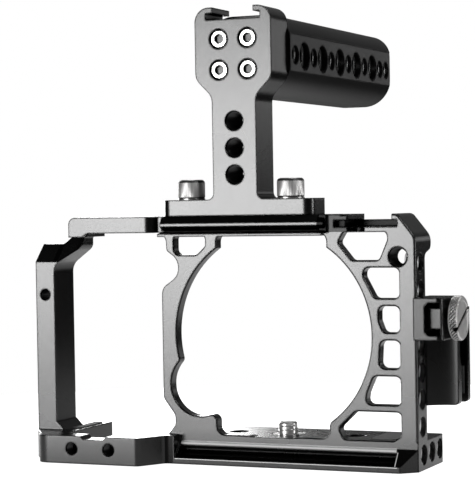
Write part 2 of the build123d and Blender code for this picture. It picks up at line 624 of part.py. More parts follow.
# ---- fasteners --------------------------------------------------------------
def make_camera_screw():
    """Slotted 1/4-20 screw that holds the camera, with a groove for its clip."""
    z0 = CAM_SCREW_SINK
    head_top = z0 + CAM_SCREW_HEAD_H
    head = rod_z(LENS_X, CAM_SCREW_Y, CAM_SCREW_HEAD_R, z0, head_top)
    head = chamfer(head.edges().sort_by(Axis.Z)[0], 0.4)
    shank = rod_z(LENS_X, CAM_SCREW_Y, THREAD_R, head_top - EPS, BASE_T + CAM_SCREW_OUT)
    shank = chamfer(shank.edges().sort_by(Axis.Z)[-1], 0.5)
    body = head + shank
    body -= Pos(LENS_X, CAM_SCREW_Y, z0) * Box(2 * CAM_SCREW_HEAD_R + 1, CAM_SLOT_W, 2 * CAM_SLOT_DEEP)
    z1 = clip_z()
    ring = rod_z(LENS_X, CAM_SCREW_Y, THREAD_R + 1, z1 - RUN, z1 + CLIP_T + RUN)
    ring -= rod_z(LENS_X, CAM_SCREW_Y, THREAD_R - CLIP_GROOVE, z1 - 1, z1 + CLIP_T + 1)
    return body - ring


def clip_z():
    """Underside of the camera screw's clip when the screw is tight."""
    return CAM_SCREW_SINK + CAM_SCREW_HEAD_H + CAM_SEAT_WEB + CAM_SCREW_OUT + RUN


def make_camera_screw_clip():
    z0 = clip_z()
    clip = rod_z(LENS_X, CAM_SCREW_Y, CLIP_R, z0, z0 + CLIP_T)
    clip -= rod_z(LENS_X, CAM_SCREW_Y, THREAD_R - CLIP_GROOVE + RUN, z0 - 1, z0 + CLIP_T + 1)
    mouth = box(LENS_X - CLIP_MOUTH / 2, LENS_X + CLIP_MOUTH / 2, CAM_SCREW_Y, CAM_SCREW_Y + CLIP_R + 1, z0 - 1, z0 + CLIP_T + 1)
    return clip - mouth


def make_handle_screw(x):
    """Socket cap screw through the handle's foot into the top rail."""
    z0 = FOOT_TOP + WASHER_T
    head = rod_z(x, SCREW_Y, CAP_R, z0, z0 + CAP_H)
    head = fillet(head.edges().sort_by(Axis.Z)[-1], 0.6)
    shank = rod_z(x, SCREW_Y, THREAD_R, TOP_Z - HANDLE_THREAD, z0 + EPS)
    shank = chamfer(shank.edges().sort_by(Axis.Z)[0], 0.4)
    socket = Pos(x, SCREW_Y, z0 + CAP_H - CAP_HEX_DEEP) * extrude(hexagon(CAP_HEX), amount=CAP_H)
    return head + shank - socket


def make_handle_washer(x):
    washer = rod_z(x, SCREW_Y, CAP_R, FOOT_TOP, FOOT_TOP + WASHER_T)
    return washer - rod_z(x, SCREW_Y, THREAD_R + RUN, FOOT_TOP - 1, FOOT_TOP + WASHER_T + 1)


def grip_screw_places():
    half = HEAD_SCREW_PITCH / 2
    return [(HANDLE_X + sx * half, HEAD_MID_Z + sz * half) for sx in (-1, 1) for sz in (-1, 1)]


def make_grip_screw(x, z):
    """M3 socket screw from the head into the grip."""
    y0 = HANDLE_Y + SMALL_SINK
    y1 = y0 + SMALL_HEAD_H
    head = rod_y(x, z, SMALL_HEAD_R, y0, y1)
    head = fillet(head.edges().sort_by(Axis.Y)[0], 0.4)
    shank = rod_y(x, z, SMALL_R, y1 - EPS, HANDLE_BACK + SMALL_GRIP)
    socket = Pos(x, y0 + 1.8, z) * Rot(90, 0, 0) * extrude(hexagon(SMALL_HEX), amount=SMALL_HEAD_H)
    return head + shank - socket


# ---- handle -----------------------------------------------------------------
def handle_outline():
    """Foot, post and head seen from the front, the same on both sides of the middle."""
    half_head, half_post, half_foot = HEAD_W / 2, POST_W / 2, FOOT_W / 2
    shoulder_z = HEAD_TOP - HEAD_H
    neck_z = shoulder_z - (half_head - half_post)
    right = [
        (half_foot, TOP_Z, 0.0), (half_foot, FOOT_TOP, 0.4), (half_post, FOOT_TOP, 2.2),
        (half_post, neck_z, NECK_R), (half_head, shoulder_z, NECK_R), (half_head, HEAD_TOP, HEAD_R),
    ]
    left = [(-x, z, r) for x, z, r in reversed(right)]
    return Pos(HANDLE_X, 0) * rounded(right + left)


def make_handle_post():
    """Foot, post and head in one piece, with a cold shoe milled into the head."""
    body = front(handle_outline(), HANDLE_Y, HANDLE_BACK)
    foot_plan = Pos(HANDLE_X, HANDLE_Y + HANDLE_D / 2) * RectangleRounded(FOOT_W, HANDLE_D, FOOT_R)
    clear = FOOT_TOP + 2.4
    keep = plan(foot_plan, TOP_Z, clear)
    half_head = HEAD_W / 2
    keep += box(HANDLE_X - half_head, HANDLE_X + half_head, HANDLE_Y, HANDLE_BACK, FOOT_TOP, HEAD_TOP)
    body &= keep
    body -= shoe_cutter(HANDLE_X, HEAD_SLOT_W, HEAD_TOP, HANDLE_Y - OVER, HANDLE_BACK + OVER,
                        HANDLE_BACK + OVER)
    for i in range(POST_HOLES):
        z = TOP_Z + POST_HOLE_UP + i * POST_HOLE_PITCH
        body -= tapped_y(HANDLE_X, z, TAP_R, HANDLE_Y, HANDLE_BACK + OVER)
    for x, z in grip_screw_places():
        body -= rod_y(x, z, SMALL_HEAD_R + 0.5, HANDLE_Y - OVER, HANDLE_Y + SMALL_SINK + SMALL_HEAD_H)
        body -= rod_y(x, z, SMALL_R + RUN, HANDLE_Y, HANDLE_BACK + OVER)
    for x in handle_screw_x():
        body -= rod_z(x, SCREW_Y, THREAD_R + RUN, TOP_Z - OVER, FOOT_TOP + OVER)
    return body


def grip_section(inset, side_inset):
    """The grip's outline, or the hollow's when inset by the walls."""
    half_w = GRIP_W / 2 - side_inset
    top, low = GRIP_MID_Z + GRIP_H / 2 - inset, GRIP_MID_Z - GRIP_H / 2 + inset
    top_r, low_r = GRIP_TOP_R - inset, GRIP_LOW_R - inset
    return rounded([
        (HANDLE_X - half_w, top, top_r), (HANDLE_X + half_w, top, top_r),
        (HANDLE_X + half_w, low, low_r), (HANDLE_X - half_w, low, low_r),
    ])


def grip_holes():
    """Y and radius of the cross holes: 1/4-20 and 3/8-16 by turns, then one more 1/4-20."""
    first = HANDLE_BACK + GRIP_FIRST
    holes = [(first + i * GRIP_PITCH, TAP_38_R if i % 2 else TAP_R) for i in range(GRIP_HOLES - 1)]
    holes.append((holes[-1][0] + GRIP_LAST, TAP_R))
    return holes


def make_handle_grip():
    """Rounded bar behind the head: flats and cross holes outside, hollow from the rear."""
    body = front(grip_section(0, 0), HANDLE_BACK, GRIP_BACK)
    body = chamfer(body.faces().sort_by(Axis.Y)[-1].edges(), 0.8)
    body -= front(grip_section(GRIP_WALL, GRIP_SIDE_WALL), HANDLE_BACK + GRIP_FRONT_WALL, GRIP_BACK + OVER)
    for side_sign in (-1, 1):
        middle = HANDLE_X + side_sign * GRIP_W / 2
        body -= box(middle - FLAT_T, middle + FLAT_T, HANDLE_BACK + FLAT_START, GRIP_BACK + OVER,
                    GRIP_MID_Z - FLAT_H / 2, GRIP_MID_Z + FLAT_H / 2)
    for y, radius in grip_holes():
        body -= rod_x(y, GRIP_MID_Z, radius, HANDLE_X - GRIP_W, HANDLE_X + GRIP_W)
    for x, z in grip_screw_places():
        body -= rod_y(x, z, SMALL_R + RUN, HANDLE_BACK - OVER, HANDLE_BACK + SMALL_GRIP + OVER)
    return body


def make_grip_end_cap():
    """Plate that closes the hollow, its rim set back from the grip's chamfer."""
    return front(grip_section(GRIP_WALL + FIT, GRIP_SIDE_WALL + FIT), GRIP_BACK - CAP_PLUG, GRIP_BACK)


# ---- cable clamp ------------------------------------------------------------
def clamp_screws_at():
    """X and the two heights of the screws that join the channel to the frame."""
    return RIGHT_X + CLAMP_SCREW_OUT, (CLAMP_Z - CLAMP_SCREW_UP, CLAMP_Z + CLAMP_SCREW_UP)


def make_clamp_frame():
    """Open frame beside the column: a window in front and a boss for the stud."""
    footprint = rounded([
        (RIGHT_X, FRAME_FRONT, FRAME_EDGE_R), (FRAME_OUT, FRAME_FRONT, FRAME_R),
        (FRAME_OUT, FRAME_BACK, FRAME_EDGE_R), (RIGHT_X, FRAME_BACK, FRAME_EDGE_R),
    ])
    body = plan(footprint, FRAME_Z0, FRAME_Z1)
    win_x0, win_x1 = RIGHT_X + FRAME_WALL, FRAME_OUT - FRAME_OUT_WALL
    win_z0, win_z1 = FRAME_Z0 + FRAME_BAR, FRAME_Z1 - FRAME_BAR
    corner = WINDOW_BEVEL
    window = front(shape([
        (win_x0 + corner, win_z0), (win_x1, win_z0), (win_x1, win_z1), (win_x0 + corner, win_z1),
        (win_x0, win_z1 - corner), (win_x0, win_z0 + corner),
    ]), FRAME_FRONT - OVER, FRAME_BACK - FRAME_BACK_WALL)
    boss = box(win_x0 - EPS, win_x1 + EPS, FRAME_FRONT + BOSS_BACK, FRAME_BACK,
               CLAMP_Z - BOSS_H / 2, CLAMP_Z + BOSS_H / 2)
    body -= window - boss
    body -= rod_x(COLUMN_Y, CLAMP_Z, TAP_R, RIGHT_X - OVER, FRAME_OUT + OVER)
    x, heights = clamp_screws_at()
    for z in heights:
        body -= rod_y(x, z, M25_R + RUN, FRAME_BACK - FRAME_BACK_WALL - OVER, FRAME_BACK + OVER)
    return body


def channel_plan():
    """The channel seen from above: a U open away from the cage, its front face hollowed."""
    x0 = RIGHT_X + CHANNEL_GAP
    x1 = x0 + CHANNEL_W
    web = x0 + CHANNEL_WEB
    y1 = FRAME_BACK + FLANGE_LOW_T
    y2 = y1 + CABLE_GAP
    y3 = y2 + REAR_T
    nose_y = FRAME_BACK - CHANNEL_NOSE
    front_edge = ThreePointArc((x0 + 0.6, nose_y), (x0 + 4.6, nose_y + 2.6), (x1, FRAME_BACK))
    rest = Polyline((x1, FRAME_BACK), (x1, y1), (web, y1), (web, y2), (x1, y2), (x1, y3),
                    (x0, y3), (x0, nose_y), (x0 + 0.6, nose_y))
    return make_face([front_edge, rest])


def channel_gap():
    """Space between the flanges: wide for the plug above, narrow for the cable below."""
    y_wide0 = FRAME_BACK + FLANGE_T
    y_wide1 = y_wide0 + PLUG_GAP
    y_low0 = FRAME_BACK + FLANGE_LOW_T
    y_low1 = y_low0 + CABLE_GAP
    top = FRAME_Z1 + OVER
    outline = shape([(y_low0, FUNNEL_Z0), (y_wide0, FUNNEL_Z1), (y_wide0, top), (y_wide1, top),
                     (y_wide1, FUNNEL_Z1), (y_low1, FUNNEL_Z0)])
    return side(outline, RIGHT_X + CHANNEL_GAP + CHANNEL_WEB, RIGHT_X + CHANNEL_W + 2)


def make_clamp_channel():
    """Upright cable channel, bolted to the frame's back and hollowed in front below it."""
    body = plan(channel_plan(), CHANNEL_BOTTOM, FRAME_Z1) - channel_gap()
    x0 = RIGHT_X + CHANNEL_GAP
    x1 = x0 + CHANNEL_W
    reach = FRAME_BACK + FLANGE_T + PLUG_GAP
    body -= box(x0 - OVER, x1 + OVER, FRAME_FRONT, FRAME_BACK, FRAME_Z0 - 0.2, FRAME_Z1 + OVER)
    body -= box(x0 - OVER, x1 + OVER, FRAME_BACK + FLANGE_T, reach + 5, REAR_TOP, FRAME_Z1 + OVER)
    outer = front(rounded([(x0 - 1, CHANNEL_BOTTOM, 0.0), (x1, CHANNEL_BOTTOM, CHANNEL_CORNER_R),
                           (x1, FRAME_Z1, 0.0), (x0 - 1, FRAME_Z1, 0.0)]), FRAME_FRONT, reach + 5)
    body &= outer
    x, heights = clamp_screws_at()
    y1 = FRAME_BACK + FLANGE_T
    for z in heights:
        body -= rod_y(x, z, M25_R + RUN, FRAME_BACK - OVER, y1 + OVER)
        body -= Pos(x, y1 - M25_SINK / 2 + EPS, z) * Rot(90, 0, 0) * Cone(M25_HEAD_R + RUN, M25_R + RUN, M25_SINK)
        body -= rod_y(x, z, M25_HEAD_R + PLAY, reach - 1, reach + 5)
    return body


def make_clamp_screw(z):
    """Countersunk screw that holds the channel to the back of the frame."""
    x, _ = clamp_screws_at()
    y1 = FRAME_BACK + FLANGE_T
    head = Pos(x, y1 - M25_SINK / 2, z) * Rot(90, 0, 0) * Cone(M25_HEAD_R, M25_R, M25_SINK)
    shank = rod_y(x, z, M25_R, FRAME_BACK - FRAME_BACK_WALL + 0.3, y1 - M25_SINK + EPS)
    socket = Pos(x, y1 + EPS, z) * Rot(90, 0, 0) * extrude(hexagon(M25_HEX), amount=M25_HEX_DEEP)
    return head + shank - socket


def make_channel_liner(y0):
    """Rubber strip on one side of the cable gap."""
    x0 = RIGHT_X + CHANNEL_GAP + CHANNEL_WEB + 0.6
    x1 = RIGHT_X + CHANNEL_GAP + CHANNEL_W - 1.2
    return box(x0, x1, y0, y0 + LINER_T, CHANNEL_BOTTOM + LINER_UP, FUNNEL_Z0 - LINER_T)


def make_clamp_knob():
    """Thumb wheel with a coin slot, pressed on the stud."""
    wheel = rod_x(COLUMN_Y, CLAMP_Z, KNOB_R, KNOB_X, KNOB_X + KNOB_T)
    wheel = chamfer(wheel.edges().filter_by(GeomType.CIRCLE), KNOB_BEVEL)
    slot = Box(2 * KNOB_SLOT_DEEP, KNOB_SLOT_W, 2 * KNOB_R + 2)
    wheel -= Pos(KNOB_X + KNOB_T, COLUMN_Y, CLAMP_Z) * Rot(KNOB_SLOT_TILT, 0, 0) * slot
    return wheel - rod_x(COLUMN_Y, CLAMP_Z, THREAD_R, KNOB_X - 1, KNOB_X + STUD_IN_KNOB)


def make_clamp_stud():
    """Threaded stud from the thumb wheel through the frame into the column."""
    stud = rod_x(COLUMN_Y, CLAMP_Z, THREAD_R, COLUMN_X, KNOB_X + STUD_IN_KNOB)
    return chamfer(stud.edges().sort_by(Axis.X)[0], 0.5)


def make_clamp_washer():
    x0, x1 = FRAME_OUT, FRAME_OUT + CLAMP_WASHER_T
    washer = rod_x(COLUMN_Y, CLAMP_Z, CLAMP_WASHER_R, x0, x1)
    return washer - rod_x(COLUMN_Y, CLAMP_Z, THREAD_R + RUN, x0 - 1, x1 + 1)


# ---- write every piece ------------------------------------------------------
def main():
    left_x, right_x = handle_screw_x()
    _, (low_z, high_z) = clamp_screws_at()
    liner_y = FRAME_BACK + FLANGE_LOW_T
    pieces = {
        "cage_body": make_cage(),
        "base_pad_left": make_base_pad(LEFT_X + UPRIGHT_T + PAD_LEFT_GAP, BATTERY_X0 - PAD_CUT_GAP),
        "base_pad_right": make_base_pad(RIGHT_X - PAD_SIDE - PAD_W, RIGHT_X - PAD_SIDE),
        "camera_screw": make_camera_screw(),
        "camera_screw_clip": make_camera_screw_clip(),
        "handle_post": make_handle_post(),
        "handle_grip": make_handle_grip(),
        "grip_end_cap": make_grip_end_cap(),
        "handle_screw_left": make_handle_screw(left_x),
        "handle_screw_right": make_handle_screw(right_x),
        "handle_washer_left": make_handle_washer(left_x),
        "handle_washer_right": make_handle_washer(right_x),
        "clamp_frame": make_clamp_frame(),
        "clamp_channel": make_clamp_channel(),
        "channel_liner_front": make_channel_liner(liner_y),
        "channel_liner_rear": make_channel_liner(liner_y + CABLE_GAP - LINER_T),
        "clamp_screw_lower": make_clamp_screw(low_z),
        "clamp_screw_upper": make_clamp_screw(high_z),
        "clamp_knob": make_clamp_knob(),
        "clamp_stud": make_clamp_stud(),
        "clamp_washer": make_clamp_washer(),
    }
    for number, (x, z) in enumerate(grip_screw_places(), 1):
        pieces[f"grip_screw_{number}"] = make_grip_screw(x, z)
    os.makedirs("parts", exist_ok=True)
    for name, piece in pieces.items():
        export_step(piece, f"parts/{name}.step")


main()
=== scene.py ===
# %% [markdown]
# # A camera cage, dressed for a studio picture
# The metal parts arrive finished in shape. This lesson gives each one the surface it has on the
# real object: bead-blasted black anodising, turned and polished steel, rubber and moulded plastic.
# The screws, the thumb wheel and the threads in the holes are modelled again, because a
# construction model leaves out knurling and threads.

# %% Load the model
import bpy
import bmesh
import json
import math
from mathutils import Matrix, Vector

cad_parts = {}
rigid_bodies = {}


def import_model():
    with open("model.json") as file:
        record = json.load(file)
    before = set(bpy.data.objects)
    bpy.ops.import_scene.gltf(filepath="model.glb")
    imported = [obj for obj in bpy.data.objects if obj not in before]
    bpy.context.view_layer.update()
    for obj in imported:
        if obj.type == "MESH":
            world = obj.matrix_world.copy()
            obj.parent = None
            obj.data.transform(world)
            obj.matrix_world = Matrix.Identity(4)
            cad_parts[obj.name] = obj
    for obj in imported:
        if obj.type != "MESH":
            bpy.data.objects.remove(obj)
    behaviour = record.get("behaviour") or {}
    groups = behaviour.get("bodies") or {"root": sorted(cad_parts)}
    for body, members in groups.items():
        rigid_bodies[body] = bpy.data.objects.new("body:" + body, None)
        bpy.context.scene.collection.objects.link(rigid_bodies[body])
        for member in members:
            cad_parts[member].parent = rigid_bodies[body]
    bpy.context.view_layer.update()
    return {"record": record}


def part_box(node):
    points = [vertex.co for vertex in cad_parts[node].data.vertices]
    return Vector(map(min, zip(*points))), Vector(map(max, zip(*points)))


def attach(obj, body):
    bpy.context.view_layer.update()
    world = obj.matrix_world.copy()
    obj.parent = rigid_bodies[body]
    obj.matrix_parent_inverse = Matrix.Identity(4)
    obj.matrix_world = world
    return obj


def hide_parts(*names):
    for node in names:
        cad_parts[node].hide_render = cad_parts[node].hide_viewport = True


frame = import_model()
MM = 0.001

# %% [markdown]
# ## The camera
# A long lens a good half metre away keeps the cage's straight edges nearly parallel. The camera
# turns a little to the left and looks down by one degree, so both the plate and the port side show.
# Building the matrix from three directions is exact, where aiming with a constraint is not.

# %% Place the camera
IMAGE_HEIGHT = 478
FOCAL_PIXELS = 1875.0
SENSOR = 36.0
CAMERA_AT = Vector((0.2583, -0.5706, 0.0877))
YAW, PITCH, ROLL = (math.radians(angle) for angle in (23.68, 1.145, -0.967))


def camera_axes():
    """The camera's right, up and backward directions."""
    forward = Vector((-math.sin(YAW) * math.cos(PITCH), math.cos(YAW) * math.cos(PITCH), -math.sin(PITCH)))
    level = Vector((math.cos(YAW), math.sin(YAW), 0.0))
    upright = level.cross(forward)
    right = math.cos(ROLL) * level + math.sin(ROLL) * upright
    up = -math.sin(ROLL) * level + math.cos(ROLL) * upright
    return right, up, -forward


camera_data = bpy.data.cameras.new("studio_camera")
camera_data.sensor_width = SENSOR
camera_data.lens = FOCAL_PIXELS * SENSOR / IMAGE_HEIGHT
camera = bpy.data.objects.new("studio_camera", camera_data)
bpy.context.scene.collection.objects.link(camera)
rotation = Matrix(camera_axes()).transposed().to_4x4()
camera.matrix_world = Matrix.Translation(CAMERA_AT) @ rotation
bpy.context.scene.camera = camera
print("lens", round(camera_data.lens, 1), "mm")

# %% [markdown]
# ## Writing shader maths as plain expressions
# Node trees get long when every sum is a node placed by hand. This class wraps one socket and
# turns `+`, `-` and `*` into Math nodes, so that a pattern reads like a formula. Any other node
# comes from `node`, which sets the node's own settings first and its sockets after.

# %% A socket that can be added and multiplied
class Wire:
    """One output socket of a node tree, with arithmetic."""

    def __init__(self, tree, socket):
        self.tree = tree
        self.socket = socket

    def node(self, kind, out=0, settings=None, **inputs):
        made = self.tree.nodes.new(kind)
        for name, value in (settings or {}).items():
            setattr(made, name, value)
        for name, value in inputs.items():
            key = int(name[1:]) if name[0] == "i" and name[1:].isdigit() else name.replace("_", " ")
            if isinstance(value, Wire):
                self.tree.links.new(value.socket, made.inputs[key])
            else:
                made.inputs[key].default_value = value
        return Wire(self.tree, made.outputs[out])

    def math(self, operation, *others):
        inputs = {f"i{i}": value for i, value in enumerate((self,) + others)}
        return self.node("ShaderNodeMath", settings={"operation": operation}, **inputs)

    def __add__(self, other):
        return self.math("ADD", other)

    __radd__ = __add__

    def __mul__(self, other):
        return self.math("MULTIPLY", other)

    __rmul__ = __mul__

    def __sub__(self, other):
        return self.math("SUBTRACT", other)

    def __rsub__(self, other):
        return self.node("ShaderNodeMath", settings={"operation": "SUBTRACT"}, i0=other, i1=self)

    def rise(self, start, end):
        """0 below start, 1 above end, smooth between."""
        return self.node("ShaderNodeMapRange", settings={"interpolation_type": "SMOOTHSTEP"},
                         Value=self, From_Min=start, From_Max=end)

    def blend_colours(self, low, high):
        """A colour that goes from low to high as this value goes from 0 to 1."""
        return self.node("ShaderNodeMix", out=2, settings={"data_type": "RGBA"}, i0=self, i6=low, i7=high)


def grey(value, warmth=0.0):
    return (value * (1 + warmth), value, value * (1 - warmth), 1.0)


def new_material(name):
    """An empty material with one Principled shader, and a wire to start patterns from."""
    material = bpy.data.materials.new(name)
    material.use_nodes = True
    tree = material.node_tree
    shader = tree.nodes["Principled BSDF"]
    place = Wire(tree, tree.nodes.new("ShaderNodeTexCoord").outputs["Object"])
    return material, shader, place


def plug(wire, shader, socket):
    wire.tree.links.new(wire.socket, shader.inputs[socket])


# %% [markdown]
# ## Masks that read the shape
# Four patterns serve every finish. Noise gives mottling. A bevelled normal differs from the true
# one only near an edge, so their difference is an edge mask. Ambient occlusion is low where a
# place is shut in, which finds slots and holes. A box mask picks one stretch of a long edge.

# %% Noise, bumps, edges, recesses and boxes
def noise(place, size, detail=2.0, roughness=0.5):
    """Soft random mottling with patches of about the given size in metres."""
    return place.node("ShaderNodeTexNoise", Vector=place, Scale=1 / size, Detail=detail, Roughness=roughness)


def bump(place, height, depth, normal=None):
    """A normal from a height pattern, depth in metres."""
    inputs = {"Height": height, "Distance": depth, "Strength": 1.0}
    if normal is not None:
        inputs["Normal"] = normal
    return place.node("ShaderNodeBump", **inputs)


def edge_mask(place, radius):
    """1 on a sharp edge and 0 on a flat, and the rounded normal that it comes from."""
    round_normal = place.node("ShaderNodeBevel", settings={"samples": 6}, Radius=radius)
    true_normal = place.node("ShaderNodeNewGeometry", out=1)
    same = place.node("ShaderNodeVectorMath", out=1, settings={"operation": "DOT_PRODUCT"},
                      i0=round_normal, i1=true_normal)
    return (1 - same).rise(0.004, 0.06), round_normal


def recess_mask(place, reach, shut=0.3, free=0.55):
    """1 deep inside slots and holes narrower than about twice the reach, 0 in the open."""
    free_sky = place.node("ShaderNodeAmbientOcclusion", out=1,
                          settings={"samples": 8, "only_local": True}, Distance=reach)
    return 1 - free_sky.rise(shut, free)


def box_mask(place, low, high, soft=0.1, above=None):
    """1 inside the box between two corners in millimetres, falling to 0 over a soft margin.

    The margin over the top can be wider than the others."""
    inside = None
    for axis in range(3):
        along = place.node("ShaderNodeSeparateXYZ", out=axis, Vector=place) * (1 / MM)
        past = above if axis == 2 and above else soft
        part = along.rise(low[axis] - soft, low[axis]) * (1 - along.rise(high[axis], high[axis] + past))
        inside = part if inside is None else inside * part
    return inside


# %% [markdown]
# ## Black anodised aluminium
# Bead blasting leaves a surface of tiny dimples, and anodising seals a dark skin over them. The
# metal still mirrors the room, only softly. Faces stay even over their whole length, so the
# mottling is faint. Broken edges turn their mirror away from the lamp, and dark outlines are also
# painted into the colour along them as painted shade. Slots and holes get painted shade in the
# colour too, darkest down inside. Along a few long edges a pale, dull stripe is painted in as a
# painted highlight, which scatters light like paint.

# %% Anodised metal
PAINTED_SHADE_TONE = 0.008
HIGHLIGHT_TONE = 0.6
HIGHLIGHT_ROUGHER = 0.2
RECESS_REACH = 2.5 * MM
PATCH = 30 * MM
DIMPLE = 0.16 * MM
DIMPLE_DEPTH = 0.01 * MM


def anodised(name, tone, roughness, edge_radius=0.7 * MM, painted_edge_tone=PAINTED_SHADE_TONE, hollow_shade_amount=0.85, metal=1.0,
             deep=(), highlight_boxes=()):
    """Black anodising with painted shade on the edges, in hollows and in the deep boxes, and painted
    highlights as pale, dull stripes in the other boxes.
    """
    material, shader, place = new_material(name)
    edges, round_normal = edge_mask(place, edge_radius)
    painted_hollow_shade = recess_mask(place, RECESS_REACH)
    patches = noise(place, PATCH, 2.0).rise(0.3, 0.7)
    dimples = noise(place, DIMPLE, 2.0, 0.6)
    colour = patches.blend_colours(grey(tone * 0.97), grey(tone * 1.03))
    # Painted shade: dark outlines painted into the colour along edges; a lighter edge tone paints a highlight
    # instead.
    colour = edges.blend_colours(colour, grey(painted_edge_tone))
    # Painted shade: slots and holes darkened in the colour.
    colour = (painted_hollow_shade * hollow_shade_amount).blend_colours(colour, grey(PAINTED_SHADE_TONE * 0.5))
    gloss = roughness - 0.01 + patches * 0.02
    # Painted shade: a darker tone painted inside each deep box.
    for low, high, box_shade_tone in deep:
        colour = box_mask(place, low, high).blend_colours(colour, grey(box_shade_tone))
    # Painted highlights: pale, dull stripes painted inside these boxes.
    if highlight_boxes:
        highlight_mask = box_mask(place, *highlight_boxes[0])
        for zone in highlight_boxes[1:]:
            highlight_mask = highlight_mask.math("MAXIMUM", box_mask(place, *zone))
        colour = highlight_mask.blend_colours(colour, grey(HIGHLIGHT_TONE))
        plug(1 - highlight_mask, shader, "Metallic")
        gloss = gloss + highlight_mask * HIGHLIGHT_ROUGHER
    else:
        shader.inputs["Metallic"].default_value = metal
    plug(colour, shader, "Base Color")
    plug(gloss, shader, "Roughness")
    plug(bump(place, dimples, DIMPLE_DEPTH, round_normal), shader, "Normal")
    return material


# %% [markdown]
# ## Bright steel
# The screws are turned on a lathe, then polished. Turning leaves fine rings round the axis, which
# stretch each highlight across them. A wave pattern around the part's own axis gives those rings.
# Sockets, hollows and the bottoms of a knurl's grooves are darkened in the colour as painted shade.

# %% Turned steel
RING = 0.25 * MM
RING_DEPTH = 0.003 * MM
STAIN = 3 * MM
STEEL_EDGE = 0.12 * MM
HOLLOW_SHADE_REACH = 1.5 * MM
SOFT_SOCKET = 0.15 * MM
SOFT_BAND = 0.1 * MM


def turned_steel(name, tone, roughness, axis, centre, metallic=0.8, socket=0.0, hollow_shade_tone=0.05,
                 notches=None):
    """Steel with lathe rings round an axis (0, 1 or 2) through a centre, dark inside a socket's radius.

    Notches, given as a rim's radius, depth, start and end along the axis, are dark at the bottom."""
    material, shader, place = new_material(name)
    others = [i for i in range(3) if i != axis]
    parts = [place.node("ShaderNodeSeparateXYZ", out=i, Vector=place) for i in others]
    across = [part - centre[i] for part, i in zip(parts, others)]
    radius = (across[0] * across[0] + across[1] * across[1]).math("SQRT")
    along = place.node("ShaderNodeSeparateXYZ", out=axis, Vector=place)
    rings = ((radius + along) * (2 * math.pi / RING)).math("SINE")
    stains = noise(place, STAIN, 4.0).rise(0.35, 0.75)
    edges, round_normal = edge_mask(place, STEEL_EDGE)
    bright = stains.blend_colours(grey(tone * 0.9, 0.01), grey(tone, 0.01))
    # Painted shade: hollows, the socket and the bottoms of knurl grooves are darkened in the colour.
    shut = recess_mask(place, HOLLOW_SHADE_REACH, 0.2, 0.5) * 0.9
    if socket:
        shut = shut.math("MAXIMUM", 1 - radius.rise(socket, socket + SOFT_SOCKET))
    if notches:
        rim, depth, start, end = notches
        band = along.rise(start - SOFT_BAND, start) * (1 - along.rise(end, end + SOFT_BAND))
        shut = shut.math("MAXIMUM", band * (1 - radius.rise(rim - 0.5 * depth, rim - 0.02 * depth)))
    plug(shut.blend_colours(bright, grey(hollow_shade_tone)), shader, "Base Color")
    plug(roughness + stains * 0.06 - edges * 0.05, shader, "Roughness")
    plug(bump(place, rings, RING_DEPTH, round_normal), shader, "Normal")
    shader.inputs["Metallic"].default_value = metallic
    return material


# %% [markdown]
# ## Rubber and plastic
# Both are dark and dull. Rubber gets a coarse, soft grain, moulded plastic a finer one. Dust lies on
# both in patches.

# %% Rubber and moulded plastic
DUST = 6 * MM


def soft_black(name, tone, roughness, grain_size, depth):
    material, shader, place = new_material(name)
    grain = noise(place, grain_size, 3.0, 0.6)
    dust = noise(place, DUST, 2.0).rise(0.4, 0.8)
    plug(dust.blend_colours(grey(tone), grey(tone * 1.5)), shader, "Base Color")
    plug(roughness + dust * 0.1, shader, "Roughness")
    plug(bump(place, grain, depth), shader, "Normal")
    return material


# %% [markdown]
# ## Giving each machined part its finish
# The machined pieces keep their shape and only change material, so a helper empties a piece's
# material slots and fills the first one.

# %% Helpers to dress a piece
def node_object(name):
    return next(o for o in bpy.data.objects if o.name == name)


def dress(material, *names):
    for name in names:
        slots = node_object(name).data.materials
        slots.clear()
        slots.append(material)


def middle(name):
    low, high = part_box(name)
    return [(a + b) / 2 for a, b in zip(low, high)]


# %% [markdown]
# ## The milled cage
# Three edges of the base get a painted highlight, a pale, dull stripe: along the ledge over the
# groove, along the low lip in front of it and up the groove's port end. Painted shade makes the
# colour darker where the lamps don't reach: in the groove and on its lip, in the slots of the two
# shoes, at the rail's end and inside the upright. Painting these by hand needs an unwrapped mesh,
# while boxes stay right when the mesh changes. A box is two corners in millimetres. A highlight box
# ends with its soft margins, a shade box with its painted tone.

# %% Cage and handle metal
LEDGE_LINE = ((-13.6, -1.0, 6.35), (62.6, 0.3, 6.65), 0.3, 0.95)
LIP_LINE = ((-14.3, -4.5, 1.72), (64.0, -3.9, 1.8), 0.1)
END_LINE = ((63.25, -4.1, 2.1), (63.45, 0.1, 6.2), 0.1)
POCKET = ((-15.6, -4.2, 2.2), (63.1, 1.5, 5.8), 0.01)
POCKET_END = ((-17.8, -4.8, 0.0), (-15.1, -3.2, 9.5), 0.008)
LIP_FACE = ((-14.9, -4.6, -0.2), (66.0, -4.1, 1.5), 0.03)
SHOE_SLOT = ((40.5, 0.3, 78.6), (64.2, 17.0, 81.3), 0.004)
SHOE_RELIEF = ((47.0, -0.6, 77.6), (52.2, 6.0, 80.9), 0.004)
SHOE_CORNER = ((39.4, -0.6, 77.3), (46.9, 0.6, 83.2), 0.012)
RAIL_END = ((35.5, -1.0, 77.0), (39.3, 6.0, 83.2), 0.004)
UPRIGHT_INSIDE = ((-62.2, 0.6, 12.0), (-60.5, 14.5, 78.0), 0.012)
# Painted highlights along three edges of the base, painted shade in the deep boxes.
cage_metal = anodised("cage_anodised", 0.045, 0.27, highlight_boxes=(LEDGE_LINE, LIP_LINE, END_LINE),
                      deep=(POCKET, POCKET_END, LIP_FACE, SHOE_SLOT, SHOE_RELIEF, SHOE_CORNER, RAIL_END,
                            UPRIGHT_INSIDE))
dress(cage_metal, "cage_body")
